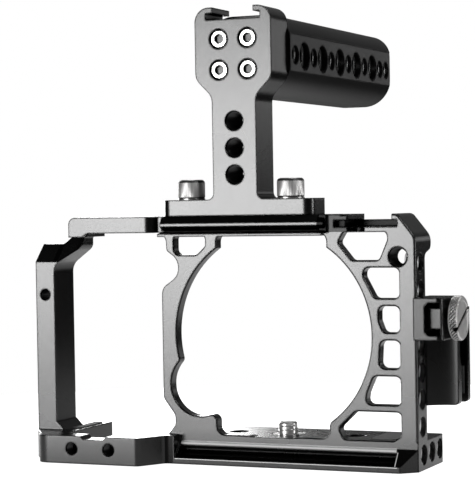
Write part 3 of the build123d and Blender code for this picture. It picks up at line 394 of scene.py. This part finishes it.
# Painted shade in the handle's shoe slot.
HANDLE_SLOT = ((-4.5, 4.4, 149.0), (4.5, 19.0, 153.3), 0.006)
handle_metal = anodised("handle_anodised", 0.045, 0.27, deep=(HANDLE_SLOT,))
dress(handle_metal, "handle_post")
grip_metal = anodised("grip_anodised", 0.03, 0.38)
dress(grip_metal, "handle_grip")
clamp_metal = anodised("clamp_anodised", 0.024, 0.27)
dress(clamp_metal, "clamp_frame", "clamp_channel")
print("anodised:", sum("anodised" in material.name for material in bpy.data.materials), "materials")

# %% [markdown]
# ## Rubber, plastic and small steel parts
# The strips and liners are rubber, and the grip's cap is moulded. Threads to the port side are
# painted pale so that they show lit, a painted highlight, while those to the front keep the black
# skin, with their crests painted lighter as a painted highlight. Their two materials are made here,
# because several pieces share them.

# %% Rubber, plastic, threads and washers
dress(soft_black("pad_rubber", 0.025, 0.7, 0.4 * MM, 0.04 * MM),
      "base_pad_left", "base_pad_right", "channel_liner_front", "channel_liner_rear")
dress(soft_black("cap_plastic", 0.02, 0.5, 0.2 * MM, 0.01 * MM), "grip_end_cap")
dress(anodised("black_oxide", 0.04, 0.3), "clamp_washer", "clamp_screw_lower", "clamp_screw_upper")
THREAD_EDGE = 0.1 * MM
# Painted highlight: port-side threads painted pale so that they show lit.
painted_lit_thread = anodised("painted_lit_thread", 0.8, 0.35, edge_radius=THREAD_EDGE, painted_edge_tone=0.8, hollow_shade_amount=0.0,
                       metal=0.2)
# Painted highlight: thread crests painted lighter than the black.
front_thread = anodised("front_thread", 0.045, 0.3, edge_radius=THREAD_EDGE, painted_edge_tone=0.1)
for side in ("left", "right"):
    washer = f"handle_washer_{side}"
    dress(turned_steel(f"steel_{washer}", 0.3, 0.28, 2, middle(washer)), washer)
camera_steel = turned_steel("steel_camera_screw", 0.6, 0.28, 2, middle("camera_screw"))
dress(camera_steel, "camera_screw", "camera_screw_clip")
print("materials:", len(bpy.data.materials))

# %% [markdown]
# ## Modelling a turned part
# On the bench these screws start as bar in a lathe. The same thought works here: a filled circle
# is drawn out along Z step by step, and scaled at each step, which leaves clean rings of faces
# that a knurl can use. Every primitive is settled first, so that its place is in its mesh.

# %% Helpers for turned parts
def work_on(piece):
    """Select one piece alone and make it active."""
    bpy.ops.object.select_all(action="DESELECT")
    piece.select_set(True)
    bpy.context.view_layer.objects.active = piece


def settle(name):
    """Name the newest object and write its place, turn and scale into its mesh."""
    piece = bpy.context.object
    piece.name = name
    work_on(piece)
    bpy.ops.object.transform_apply(location=True, rotation=True, scale=True)
    return piece


def turned(name, profile, sides):
    """A closed turned part along Z through (height, radius) pairs."""
    height, radius = profile[0]
    bpy.ops.mesh.primitive_circle_add(vertices=sides, radius=radius, fill_type="NGON",
                                      location=(0, 0, height))
    piece = settle(name)
    bpy.ops.object.mode_set(mode="EDIT")
    bpy.ops.mesh.select_all(action="SELECT")
    for next_height, next_radius in profile[1:]:
        bpy.ops.mesh.extrude_region_move(TRANSFORM_OT_translate={"value": (0, 0, next_height - height)})
        scale = next_radius / radius
        bpy.ops.transform.resize(value=(scale, scale, 1.0), center_override=(0, 0, 0))
        height, radius = next_height, next_radius
    bpy.ops.mesh.select_all(action="SELECT")
    bpy.ops.mesh.normals_make_consistent(inside=False)
    bpy.ops.object.mode_set(mode="OBJECT")
    return piece


# %% [markdown]
# ## Knurling
# A knurling wheel presses a grid of notches into a rim. Pushing in every second point of every
# ring gives upright ribs. Grooves that step one point sideways from ring to ring cross and leave
# diamonds, here four points wide.

# %% Helper for knurls
DIAMOND = 4
ON_THE_RIM = 0.02 * MM


def knurl(piece, rim, sides, depth, levels=None):
    """Push in every second point of the rim; with levels, grooves cross it both ways and leave diamonds."""
    bpy.ops.object.mode_set(mode="EDIT")
    mesh = bmesh.from_edit_mesh(piece.data)
    for part in (*mesh.faces, *mesh.edges, *mesh.verts):
        part.select = False
    for vert in mesh.verts:
        if abs(vert.co.xy.length - rim) < ON_THE_RIM:
            turn = round(math.atan2(vert.co.y, vert.co.x) / (2 * math.pi) * sides)
            if levels is None:
                vert.select = turn % 2 == 0
            else:
                ring = min(range(len(levels)), key=lambda i: abs(levels[i] - vert.co.z))
                vert.select = (turn + ring) % DIAMOND == 0 or (turn - ring) % DIAMOND == 0
    mesh.select_mode = {"VERT"}
    mesh.select_flush_mode()
    bmesh.update_edit_mesh(piece.data)
    scale = 1 - depth / rim
    bpy.ops.transform.resize(value=(scale, scale, 1.0), center_override=(0, 0, 0))
    bpy.ops.object.mode_set(mode="OBJECT")


# %% [markdown]
# ## Sockets, places and bodies
# A socket is broached into a screw's head. Here a six-sided cutter is taken out of it, which leaves
# flat walls at any size. A part made along Z is then turned into its place, shaded smooth up to a
# given angle, and tied to the body that it moves with.

# %% Helpers for sockets and placing
def cut(piece, cutter):
    """Take the cutter's shape out of the piece, and remove the cutter."""
    work_on(piece)
    boolean = piece.modifiers.new("cut", "BOOLEAN")
    boolean.operation = "DIFFERENCE"
    boolean.solver = "EXACT"
    boolean.object = cutter
    bpy.ops.object.modifier_apply(modifier=boolean.name)
    bpy.data.objects.remove(cutter)


def hex_socket(piece, top, across_flats, deep):
    """Sink a six-sided socket from the top of a part that stands along Z."""
    bpy.ops.object.select_all(action="DESELECT")
    bpy.ops.mesh.primitive_cylinder_add(vertices=6, radius=across_flats / math.sqrt(3), depth=2 * deep,
                                        location=(0, 0, top))
    cut(piece, settle("socket_cutter"))


def lay(piece, at, turn=(0.0, 0.0, 0.0)):
    """Turn a part that was made along Z, put it in its place and write both into its mesh."""
    piece.rotation_euler = turn
    piece.location = at
    work_on(piece)
    bpy.ops.object.transform_apply(location=True, rotation=True, scale=True)


def finish_piece(piece, material, body, smooth=30.0):
    """Shade a part, and tell the frame what it rides on and what it is made of."""
    work_on(piece)
    bpy.ops.object.shade_smooth_by_angle(angle=math.radians(smooth))
    piece.data.materials.clear()
    piece.data.materials.append(material)
    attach(piece, body)


# %% [markdown]
# ## Screw threads
# A thread is a ridge that climbs round a cylinder by one pitch a turn. One small triangle is wound
# up by the Screw modifier: for a stud its point looks outwards, for a hole inwards. The base of the
# triangle reaches a little into the metal, so that no gap shows.

# %% A thread ridge along Z
RIDGE_STEPS = 24
RIDGE_HALF = 0.32
QUARTER = math.pi / 2


def thread_ridge(name, root, crest, pitch, length):
    """A wound ridge from Z = 0 to about the given length; a hole's crest is less than its root."""
    height = (root - crest) / 1.5
    turns = (length - 0.9 * pitch) / pitch
    bpy.ops.object.select_all(action="DESELECT")
    bpy.ops.mesh.primitive_circle_add(vertices=3, radius=1.0, fill_type="NOTHING",
                                      rotation=(QUARTER, -QUARTER, 0.0))
    settle(name)
    ridge = bpy.context.object
    ridge.scale = (height, 1.0, RIDGE_HALF * pitch / math.cos(math.radians(30)))
    ridge.location = (root - 0.5 * height, 0.0, RIDGE_HALF * pitch)
    ridge = settle(name)
    screw = ridge.modifiers.new("wind", "SCREW")
    screw.axis = "Z"
    screw.angle = 2 * math.pi * turns
    screw.screw_offset = pitch * turns
    screw.steps = screw.render_steps = max(3, round(RIDGE_STEPS * turns))
    screw.use_smooth_shade = False
    bpy.ops.object.modifier_apply(modifier=screw.name)
    bpy.ops.object.mode_set(mode="EDIT")
    bpy.ops.mesh.select_all(action="SELECT")
    bpy.ops.mesh.fill_holes(sides=3)
    bpy.ops.mesh.select_all(action="SELECT")
    bpy.ops.mesh.normals_make_consistent(inside=False)
    bpy.ops.object.mode_set(mode="OBJECT")
    return ridge


def joined(name, pieces):
    """One object from several."""
    work_on(pieces[0])
    for piece in pieces[1:]:
        piece.select_set(True)
    if len(pieces) > 1:
        bpy.ops.object.join()
    pieces[0].name = name
    pieces[0].data.name = name
    return pieces[0]


def repeated(name, pattern, places, turn):
    """Copies of a part made along Z, one at each place, joined into one piece."""
    copies = []
    for place in places:
        copy = bpy.data.objects.new(name, pattern.data.copy())
        bpy.context.scene.collection.objects.link(copy)
        lay(copy, place, turn)
        copies.append(copy)
    bpy.data.objects.remove(pattern)
    return joined(name, copies)


# %% [markdown]
# ## Threads in the holes
# Tapped holes show bright and dark arcs inside. A texture could paint them, but real ridges catch
# the lamps and stay right from any side. The record says where each hole is. The column's holes are
# evenly spaced between its lowest one and the one that holds the clamp's stud, four further up.
# Along X, a ridge made along Z is turned a quarter about Y; along Y, a quarter about X.

# %% Sizes of the threads and places of the holes
QUARTER_INCH = {"root": 3.3 * MM, "crest": 2.6 * MM, "pitch": 1.27 * MM}
THREE_EIGHTHS = {"root": 4.88 * MM, "crest": 4.1 * MM, "pitch": 1.5875 * MM}
SMALL_M5 = {"root": 2.15 * MM, "crest": 1.75 * MM, "pitch": 0.8 * MM}
ALONG_X = (0.0, QUARTER, 0.0)
ALONG_Y = (-QUARTER, 0.0, 0.0)
ALONG_Z = (0.0, 0.0, 0.0)
MOUNTS = {m["name"]: m for m in frame["record"]["mounts"]}
COLUMN_HOLES = 7
STUD_HOLE = 4


def hole(name):
    """Middle of a mount of the record."""
    return Vector(MOUNTS[name]["pos_m"])


def hole_from(name, axis, start):
    """Middle of a mount, but with a start of its own along one axis."""
    place = hole(name)
    place[axis] = start
    return place


column_low = hole("column_hole_2")
stud_z = middle("clamp_stud")[2]
pitch_up = (stud_z - column_low.z) / STUD_HOLE
print("column holes every", round(pitch_up / MM, 2), "mm")

# %% [markdown]
# ## Threads that open to the port side
# Six holes of the column and three in the base's end open here, and one more of the column holds the
# clamp's stud. The record's holes reach a little past the face. Each ridge stops short of it,
# behind the small countersink at the hole's mouth, as a tapped thread does.

# %% Threads that open to the port side
COLUMN_START = 64.7 * MM
END_START = 62.0 * MM
FACE_INSET = 0.45 * MM
PAST_FACE = 0.05 * MM
port_face = column_low.x + MOUNTS["column_hole_2"]["dims"]["length_mm"] / 2 * MM - PAST_FACE
column = [Vector((COLUMN_START, column_low.y, column_low.z + i * pitch_up)) for i in range(COLUMN_HOLES)
          if i != STUD_HOLE]
ridge = thread_ridge("ridge", length=port_face - FACE_INSET - COLUMN_START, **QUARTER_INCH)
column_threads = repeated("column_threads", ridge, column, ALONG_X)
ends = [hole_from(f"base_end_hole_{i}", 0, END_START) for i in (1, 2, 3)]
ridge = thread_ridge("ridge", length=port_face - FACE_INSET - END_START, **QUARTER_INCH)
end_threads = repeated("base_end_threads", ridge, ends, ALONG_X)
for piece in (column_threads, end_threads):
    finish_piece(piece, painted_lit_thread, "cage")
print(len(column), "column holes,", len(ends), "in the base's end")

# %% [markdown]
# ## Threads that open to the front
# The handle's post is tapped right through in three places, so its ridges take their length from
# the post. The shoulder's hole and the two small ones in the block end inside the metal, so theirs
# are given.

# %% Threads that open to the front
DEEP_THREAD = 8.5 * MM
BLOCK_THREAD = 5.0 * MM
post_low, post_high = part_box("handle_post")
post_holes = [hole_from(f"handle_post_hole_{i}", 1, post_low.y + FACE_INSET) for i in (1, 2, 3)]
ridge = thread_ridge("ridge", length=post_high.y - post_low.y - 2 * FACE_INSET, **QUARTER_INCH)
post_threads = repeated("post_threads", ridge, post_holes, ALONG_Y)
ridge = thread_ridge("ridge", length=DEEP_THREAD, **QUARTER_INCH)
shoulder_threads = repeated("shoulder_thread", ridge, [hole_from("shoulder_hole", 1, FACE_INSET)], ALONG_Y)
block = hole("block_holes")
half = MOUNTS["block_holes"]["dims"]["spacing_x_mm"] / 2 * MM
pair = [Vector((block.x + offset, block.y + FACE_INSET, block.z)) for offset in (-half, half)]
ridge = thread_ridge("ridge", length=BLOCK_THREAD, **SMALL_M5)
block_threads = repeated("block_threads", ridge, pair, ALONG_Y)
for piece in (post_threads, shoulder_threads, block_threads):
    finish_piece(piece, front_thread, "cage")
print(len(post_holes), "holes in the post,", len(pair), "in the block, 1 in the shoulder")

# %% [markdown]
# ## Tripod holes under the base
# Two holes take the common tripod screw and one takes the larger studio size. They open downwards
# and are made like the others, because the object is also seen from below.

# %% Tripod holes under the base
under = [hole_from(name, 2, FACE_INSET) for name in ("tripod_hole_left", "tripod_hole_right")]
ridge = thread_ridge("ridge", length=DEEP_THREAD, **QUARTER_INCH)
tripod_threads = repeated("tripod_threads", ridge, under, ALONG_Z)
ridge = thread_ridge("ridge", length=DEEP_THREAD, **THREE_EIGHTHS)
large = hole_from("tripod_hole_large", 2, FACE_INSET)
large_thread = repeated("tripod_thread_large", ridge, [large], ALONG_Z)
for piece in (tripod_threads, large_thread):
    finish_piece(piece, front_thread, "cage")
print("tripod threads:", len(tripod_threads.data.polygons) + len(large_thread.data.polygons), "faces")

# %% [markdown]
# ## Threads through the grip's two walls
# The grip is hollow, so each cross hole has thread only in the side walls, behind the shallow flat
# on each side. Small and large holes take turns, and the last one is small again.

# %% Grip threads
GRIP_WALL = 4.0 * MM
FLAT = 0.4 * MM
grip_low, grip_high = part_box("handle_grip")
grip_thread = GRIP_WALL - FLAT - FACE_INSET
inner_x = (grip_high.x - GRIP_WALL, grip_low.x + FLAT + FACE_INSET)
grip_holes = [hole(f"grip_hole_{i}") for i in range(1, 13)]
for label, size in (("small", QUARTER_INCH), ("large", THREE_EIGHTHS)):
    wanted = [h for i, h in enumerate(grip_holes) if (i % 2 == 1 and i < 11) == (label == "large")]
    places = [Vector((x, h.y, h.z)) for h in wanted for x in inner_x]
    ridge = thread_ridge("ridge", length=grip_thread, **size)
    threads = repeated(f"grip_threads_{label}", ridge, places, ALONG_X)
    finish_piece(threads, front_thread, "cage")
    print(label, len(places), "threads,", len(threads.data.polygons), "faces")

# %% [markdown]
# ## The two cap screws of the handle
# They are ordinary socket cap screws with a knurled head for turning by hand. The profile runs from
# the tip up: thread core, underside of the head, the knurled rim and a rounded top. The knurl is
# upright ribs. Both screws are the same, so each is a copy of one pattern. The crown lists how far
# each ring of the rounded top lies below the top and in from the rim.

# %% Handle screws
HEAD_SIDES = 120
HEAD_H = 6.3 * MM
HEAD_R = 4.6 * MM
HEAD_KNURL = 0.08 * MM
HEAD_FOOT_IN = 0.35 * MM
HEAD_FOOT_UP = 0.4 * MM
HEAD_CROWN = ((1.1 * MM, 0.0), (0.45 * MM, 0.25 * MM), (0.0, 0.85 * MM))
HEAD_HEX = 4.0 * MM
HEAD_HEX_DEEP = 3.4 * MM
HEAD_SOCKET_R = 2.1 * MM
HEAD_BARE = 0.2 * MM
TIP_BEVEL = 0.5 * MM
CORE_R = 2.7 * MM
STUD_ROOT = CORE_R - 0.1 * MM
STUD_CREST = 3.15 * MM
STUD_PITCH = QUARTER_INCH["pitch"]
THREAD_SHORT = 0.4 * MM


def handle_screw():
    """A knurled socket cap screw along Z, its tip at 0."""
    low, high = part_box("handle_screw_left")
    length = high.z - low.z
    seat = length - HEAD_H
    profile = [(0.0, CORE_R - TIP_BEVEL), (TIP_BEVEL, CORE_R), (seat, CORE_R),
               (seat, HEAD_R - HEAD_FOOT_IN), (seat + HEAD_FOOT_UP, HEAD_R)]
    profile += [(length - down, HEAD_R - inwards) for down, inwards in HEAD_CROWN]
    screw = turned("cap_screw", profile, HEAD_SIDES)
    knurl(screw, HEAD_R, HEAD_SIDES, HEAD_KNURL)
    hex_socket(screw, length, HEAD_HEX, HEAD_HEX_DEEP)
    ridge = thread_ridge("cap_screw_thread", STUD_ROOT, STUD_CREST, STUD_PITCH, seat - THREAD_SHORT)
    return joined("cap_screw", [screw, ridge])


pattern = handle_screw()
for side in ("left", "right"):
    node = f"handle_screw_{side}"
    low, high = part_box(node)
    screw = bpy.data.objects.new(f"knurled_screw_{side}", pattern.data.copy())
    bpy.context.scene.collection.objects.link(screw)
    lay(screw, Vector(((low.x + high.x) / 2, (low.y + high.y) / 2, low.z)))
    # Painted shade at the bottoms of the knurl's grooves and in the socket.
    knurl_band = (HEAD_R, 3 * HEAD_KNURL, high.z - HEAD_H, high.z - HEAD_BARE)
    steel = turned_steel(f"steel_{node}", 0.68, 0.38, 2, middle(node), metallic=0.75,
                         socket=HEAD_SOCKET_R, notches=knurl_band)
    finish_piece(screw, steel, f"{node.replace('screw_', '')}_body")
    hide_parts(node)
bpy.data.objects.remove(pattern)
print("handle screw:", len(screw.data.polygons), "faces")

# %% [markdown]
# ## The four screws in the handle's head
# Smaller socket screws sit in counterbores. Their heads have a broken edge that goes dark against
# the bright flat, and a hexagon socket. They don't show their threads, so these are left out.

# %% Grip screws
SMALL_SIDES = 48
SMALL_R = 1.5 * MM
SMALL_TIP = 0.3 * MM
SMALL_HEAD_H = 3.0 * MM
SMALL_HEAD_R = 2.9 * MM
SMALL_FOOT = 0.1 * MM
SMALL_TOP_DOWN = 0.3 * MM
SMALL_TOP_IN = 0.25 * MM
SMALL_HEX = 3.0 * MM
SMALL_HEX_DEEP = 1.3 * MM
SMALL_SOCKET_R = 1.7 * MM


def grip_screw():
    """A small socket head screw along Z, its tip at 0."""
    low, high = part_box("grip_screw_1")
    length = high.y - low.y
    seat = length - SMALL_HEAD_H
    profile = [(0.0, SMALL_R - SMALL_TIP), (SMALL_TIP, SMALL_R), (seat, SMALL_R),
               (seat, SMALL_HEAD_R - SMALL_FOOT), (seat + SMALL_FOOT, SMALL_HEAD_R),
               (length - SMALL_TOP_DOWN, SMALL_HEAD_R), (length, SMALL_HEAD_R - SMALL_TOP_IN)]
    screw = turned("head_screw", profile, SMALL_SIDES)
    hex_socket(screw, length, SMALL_HEX, SMALL_HEX_DEEP)
    return screw


pattern = grip_screw()
for number in range(1, 5):
    node = f"grip_screw_{number}"
    low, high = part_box(node)
    screw = bpy.data.objects.new(f"head_screw_{number}", pattern.data.copy())
    bpy.context.scene.collection.objects.link(screw)
    lay(screw, Vector(((low.x + high.x) / 2, high.y, (low.z + high.z) / 2)), (QUARTER, 0.0, 0.0))
    # Painted shade inside the socket.
    steel = turned_steel(f"steel_{node}", 0.9, 0.25, 1, middle(node), socket=SMALL_SOCKET_R, hollow_shade_tone=0.03)
    finish_piece(screw, steel, "cage")
    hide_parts(node)
bpy.data.objects.remove(pattern)
print("grip screw:", len(screw.data.polygons), "faces")

# %% [markdown]
# ## The clamp's thumb wheel
# The wheel is turned with a bevel on both rims and diamond knurling between them, then a slot is
# milled across it for a coin. A bump texture would leave its outline smooth, so the knurl is cut
# into the mesh. The wheel is modelled along Z and laid along X.

# %% Thumb wheel
WHEEL_SIDES = 144
WHEEL_ROWS = 8
WHEEL_BEVEL = 0.5 * MM
SLOT_W = 1.5 * MM
SLOT_DEEP = 1.5 * MM
SLOT_TILT = math.radians(-62)
KNURL_DEEP = 0.4 * MM
FACE_RIM = 1.6 * MM
FACE_DISH = 0.12 * MM
FACE_DISH_IN = 0.15 * MM
wheel_low, wheel_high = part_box("clamp_knob")
wheel_r = (wheel_high.z - wheel_low.z) / 2
wheel_t = wheel_high.x - wheel_low.x
levels = [WHEEL_BEVEL + row * (wheel_t - 2 * WHEEL_BEVEL) / (WHEEL_ROWS - 1) for row in range(WHEEL_ROWS)]
profile = [(0.0, wheel_r - WHEEL_BEVEL)] + [(level, wheel_r) for level in levels]
profile += [(wheel_t, wheel_r - WHEEL_BEVEL), (wheel_t, wheel_r - FACE_RIM),
            (wheel_t - FACE_DISH, wheel_r - FACE_RIM - FACE_DISH_IN)]
wheel = turned("knurled_wheel", profile, WHEEL_SIDES)
knurl(wheel, wheel_r, WHEEL_SIDES, KNURL_DEEP, levels)
centre = Vector(middle("clamp_knob"))
lay(wheel, Vector((wheel_low.x, centre.y, centre.z)), ALONG_X)
bpy.ops.object.select_all(action="DESELECT")
bpy.ops.mesh.primitive_cube_add(size=1.0, location=(wheel_high.x, centre.y, centre.z),
                                rotation=(SLOT_TILT, 0, 0), scale=(2 * SLOT_DEEP, SLOT_W, 2.4 * wheel_r))
cut(wheel, settle("slot_cutter"))
# Painted shade at the bottoms of the knurl's grooves.
knurl_band = (wheel_r, KNURL_DEEP, wheel_low.x + WHEEL_BEVEL, wheel_high.x - WHEEL_BEVEL)
wheel_steel = turned_steel("steel_wheel", 0.62, 0.3, 0, centre, metallic=0.7, hollow_shade_tone=0.005,
                           notches=knurl_band)
finish_piece(wheel, wheel_steel, "clamp_screw_body", 15.0)
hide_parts("clamp_knob")
print("thumb wheel:", len(wheel.data.polygons), "faces")

# %% [markdown]
# ## The clamp's stud
# A rod of the thread's core diameter carries a ridge, like the handle's screws but with no head. It
# shows only when the wheel is unscrewed.

# %% Stud
STUD_SIDES = 48
stud_low, stud_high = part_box("clamp_stud")
stud_length = stud_high.x - stud_low.x
rod = turned("stud_core", [(0.0, CORE_R - TIP_BEVEL), (TIP_BEVEL, CORE_R), (stud_length, CORE_R)], STUD_SIDES)
ridge = thread_ridge("stud_ridge", STUD_ROOT, STUD_CREST, STUD_PITCH, stud_length - THREAD_SHORT)
stud = joined("threaded_stud", [rod, ridge])
lay(stud, Vector((stud_low.x, centre.y, centre.z)), ALONG_X)
finish_piece(stud, turned_steel("steel_stud", 0.6, 0.28, 0, centre), "clamp_screw_body")
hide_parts("clamp_stud")
print("stud:", len(stud.data.polygons), "faces")

# %% [markdown]
# ## Thread on the camera screw
# The screw's own shape stays, because the clip holds it by that shape. Its tip, which stands up
# from the base, gets a fine ridge.

# %% Camera screw thread
TIP_OUT = 4.0 * MM
TIP_ROOT = 3.05 * MM
TIP_CREST = 3.32 * MM
TIP_THREAD = 3.6 * MM
tip = Vector(middle("camera_screw"))
tip.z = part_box("camera_screw")[1].z - TIP_OUT
ridge = thread_ridge("ridge", TIP_ROOT, TIP_CREST, STUD_PITCH, TIP_THREAD)
tip_thread = repeated("camera_screw_thread", ridge, [tip], ALONG_Z)
finish_piece(tip_thread, camera_steel, "camera_screw_body")
print("camera screw thread:", len(tip_thread.data.polygons), "faces")

# %% [markdown]
# ## Light
# Black metal is lit by what it mirrors. One large soft light stands in front and to the left, where
# the flat faces send their reflection, and a narrow one to the right draws a bright line on the
# rounded corners. Between the two the room stays dark, so the roundings go black in between. A
# small one overhead and a large one far behind give the tops and the back a sheen. Three weak ones
# behind lift the grip: one at its side, one below it and one above. A small lamp high on the port
# side puts a glint in the threads and on the wheel.

# %% Lights
CENTRE = (0.0, 0.0, 0.08)


def area_light(name, at, aim, size_x, size_y, power):
    """A rectangular light of the given width, height and watts, turned towards a point."""
    data = bpy.data.lights.new(name, "AREA")
    data.shape = "RECTANGLE"
    data.size = size_x
    data.size_y = size_y
    data.energy = power
    light = bpy.data.objects.new(name, data)
    bpy.context.scene.collection.objects.link(light)
    light.location = at
    light.rotation_euler = (Vector(aim) - Vector(at)).to_track_quat("-Z", "Y").to_euler()


def round_the_object(turn, distance, height):
    """A place seen from the object, turn degrees from straight ahead towards the port side."""
    angle = math.radians(turn)
    return (distance * math.sin(angle), -distance * math.cos(angle), height)


area_light("front_softbox", round_the_object(-24.5, 3.0, 0.105), CENTRE, 1.5, 0.5, 69.0)
area_light("edge_strip", round_the_object(104, 3.0, 0.1), CENTRE, 0.45, 1.2, 30.0)
area_light("top_softbox", (0.0, 0.3, 1.2), CENTRE, 0.7, 0.5, 4.0)
area_light("back_softbox", round_the_object(222, 3.0, 0.5), CENTRE, 2.0, 1.2, 60.0)
area_light("grip_softbox", round_the_object(156, 3.0, 0.38), CENTRE, 1.4, 0.35, 1.6)
area_light("low_softbox", round_the_object(190, 2.0, -0.75), CENTRE, 1.6, 0.8, 0.9)
area_light("high_softbox", round_the_object(185, 2.0, 0.85), CENTRE, 1.6, 0.6, 0.5)
area_light("port_lamp", round_the_object(75, 1.5, 1.3), CENTRE, 0.4, 0.4, 14.0)
print("lights:", len(bpy.data.lights))

# %% [markdown]
# ## Floor and background
# The object stands on a pale floor that runs into a white background. Both are white to the
# camera and dim to everything else, so that they don't light the dark metal from below.

# %% Floor and world
FLOOR_GLOW = 0.5
ROOM_GLOW = 0.03
FLOOR_RADIUS = 0.26
FLOOR_AT = (0.02, 0.02, -0.0002)


def white_to_camera(tree, dim):
    """A colour that is white where the camera looks straight at it, and dim in reflections."""
    seen = Wire(tree, tree.nodes.new("ShaderNodeLightPath").outputs["Is Camera Ray"])
    return seen.blend_colours(grey(dim), grey(1.0))


def make_floor():
    """A round white table just under the base."""
    bpy.ops.object.select_all(action="DESELECT")
    bpy.ops.mesh.primitive_circle_add(vertices=96, radius=FLOOR_RADIUS, fill_type="NGON", location=FLOOR_AT)
    floor = bpy.context.object
    floor.name = "floor"
    material, shader, _ = new_material("floor_white")
    shader.inputs["Base Color"].default_value = grey(0.6)
    shader.inputs["Roughness"].default_value = 0.9
    plug(white_to_camera(material.node_tree, FLOOR_GLOW), shader, "Emission Color")
    shader.inputs["Emission Strength"].default_value = 1.0
    floor.data.materials.append(material)


make_floor()
world = bpy.data.worlds.new("studio")
bpy.context.scene.world = world
world.use_nodes = True
sky = world.node_tree.nodes["Background"]
world.node_tree.links.new(white_to_camera(world.node_tree, ROOM_GLOW).socket, sky.inputs["Color"])
bpy.context.scene.view_settings.view_transform = "Standard"
print("floor", 2 * FLOOR_RADIUS, "m across")
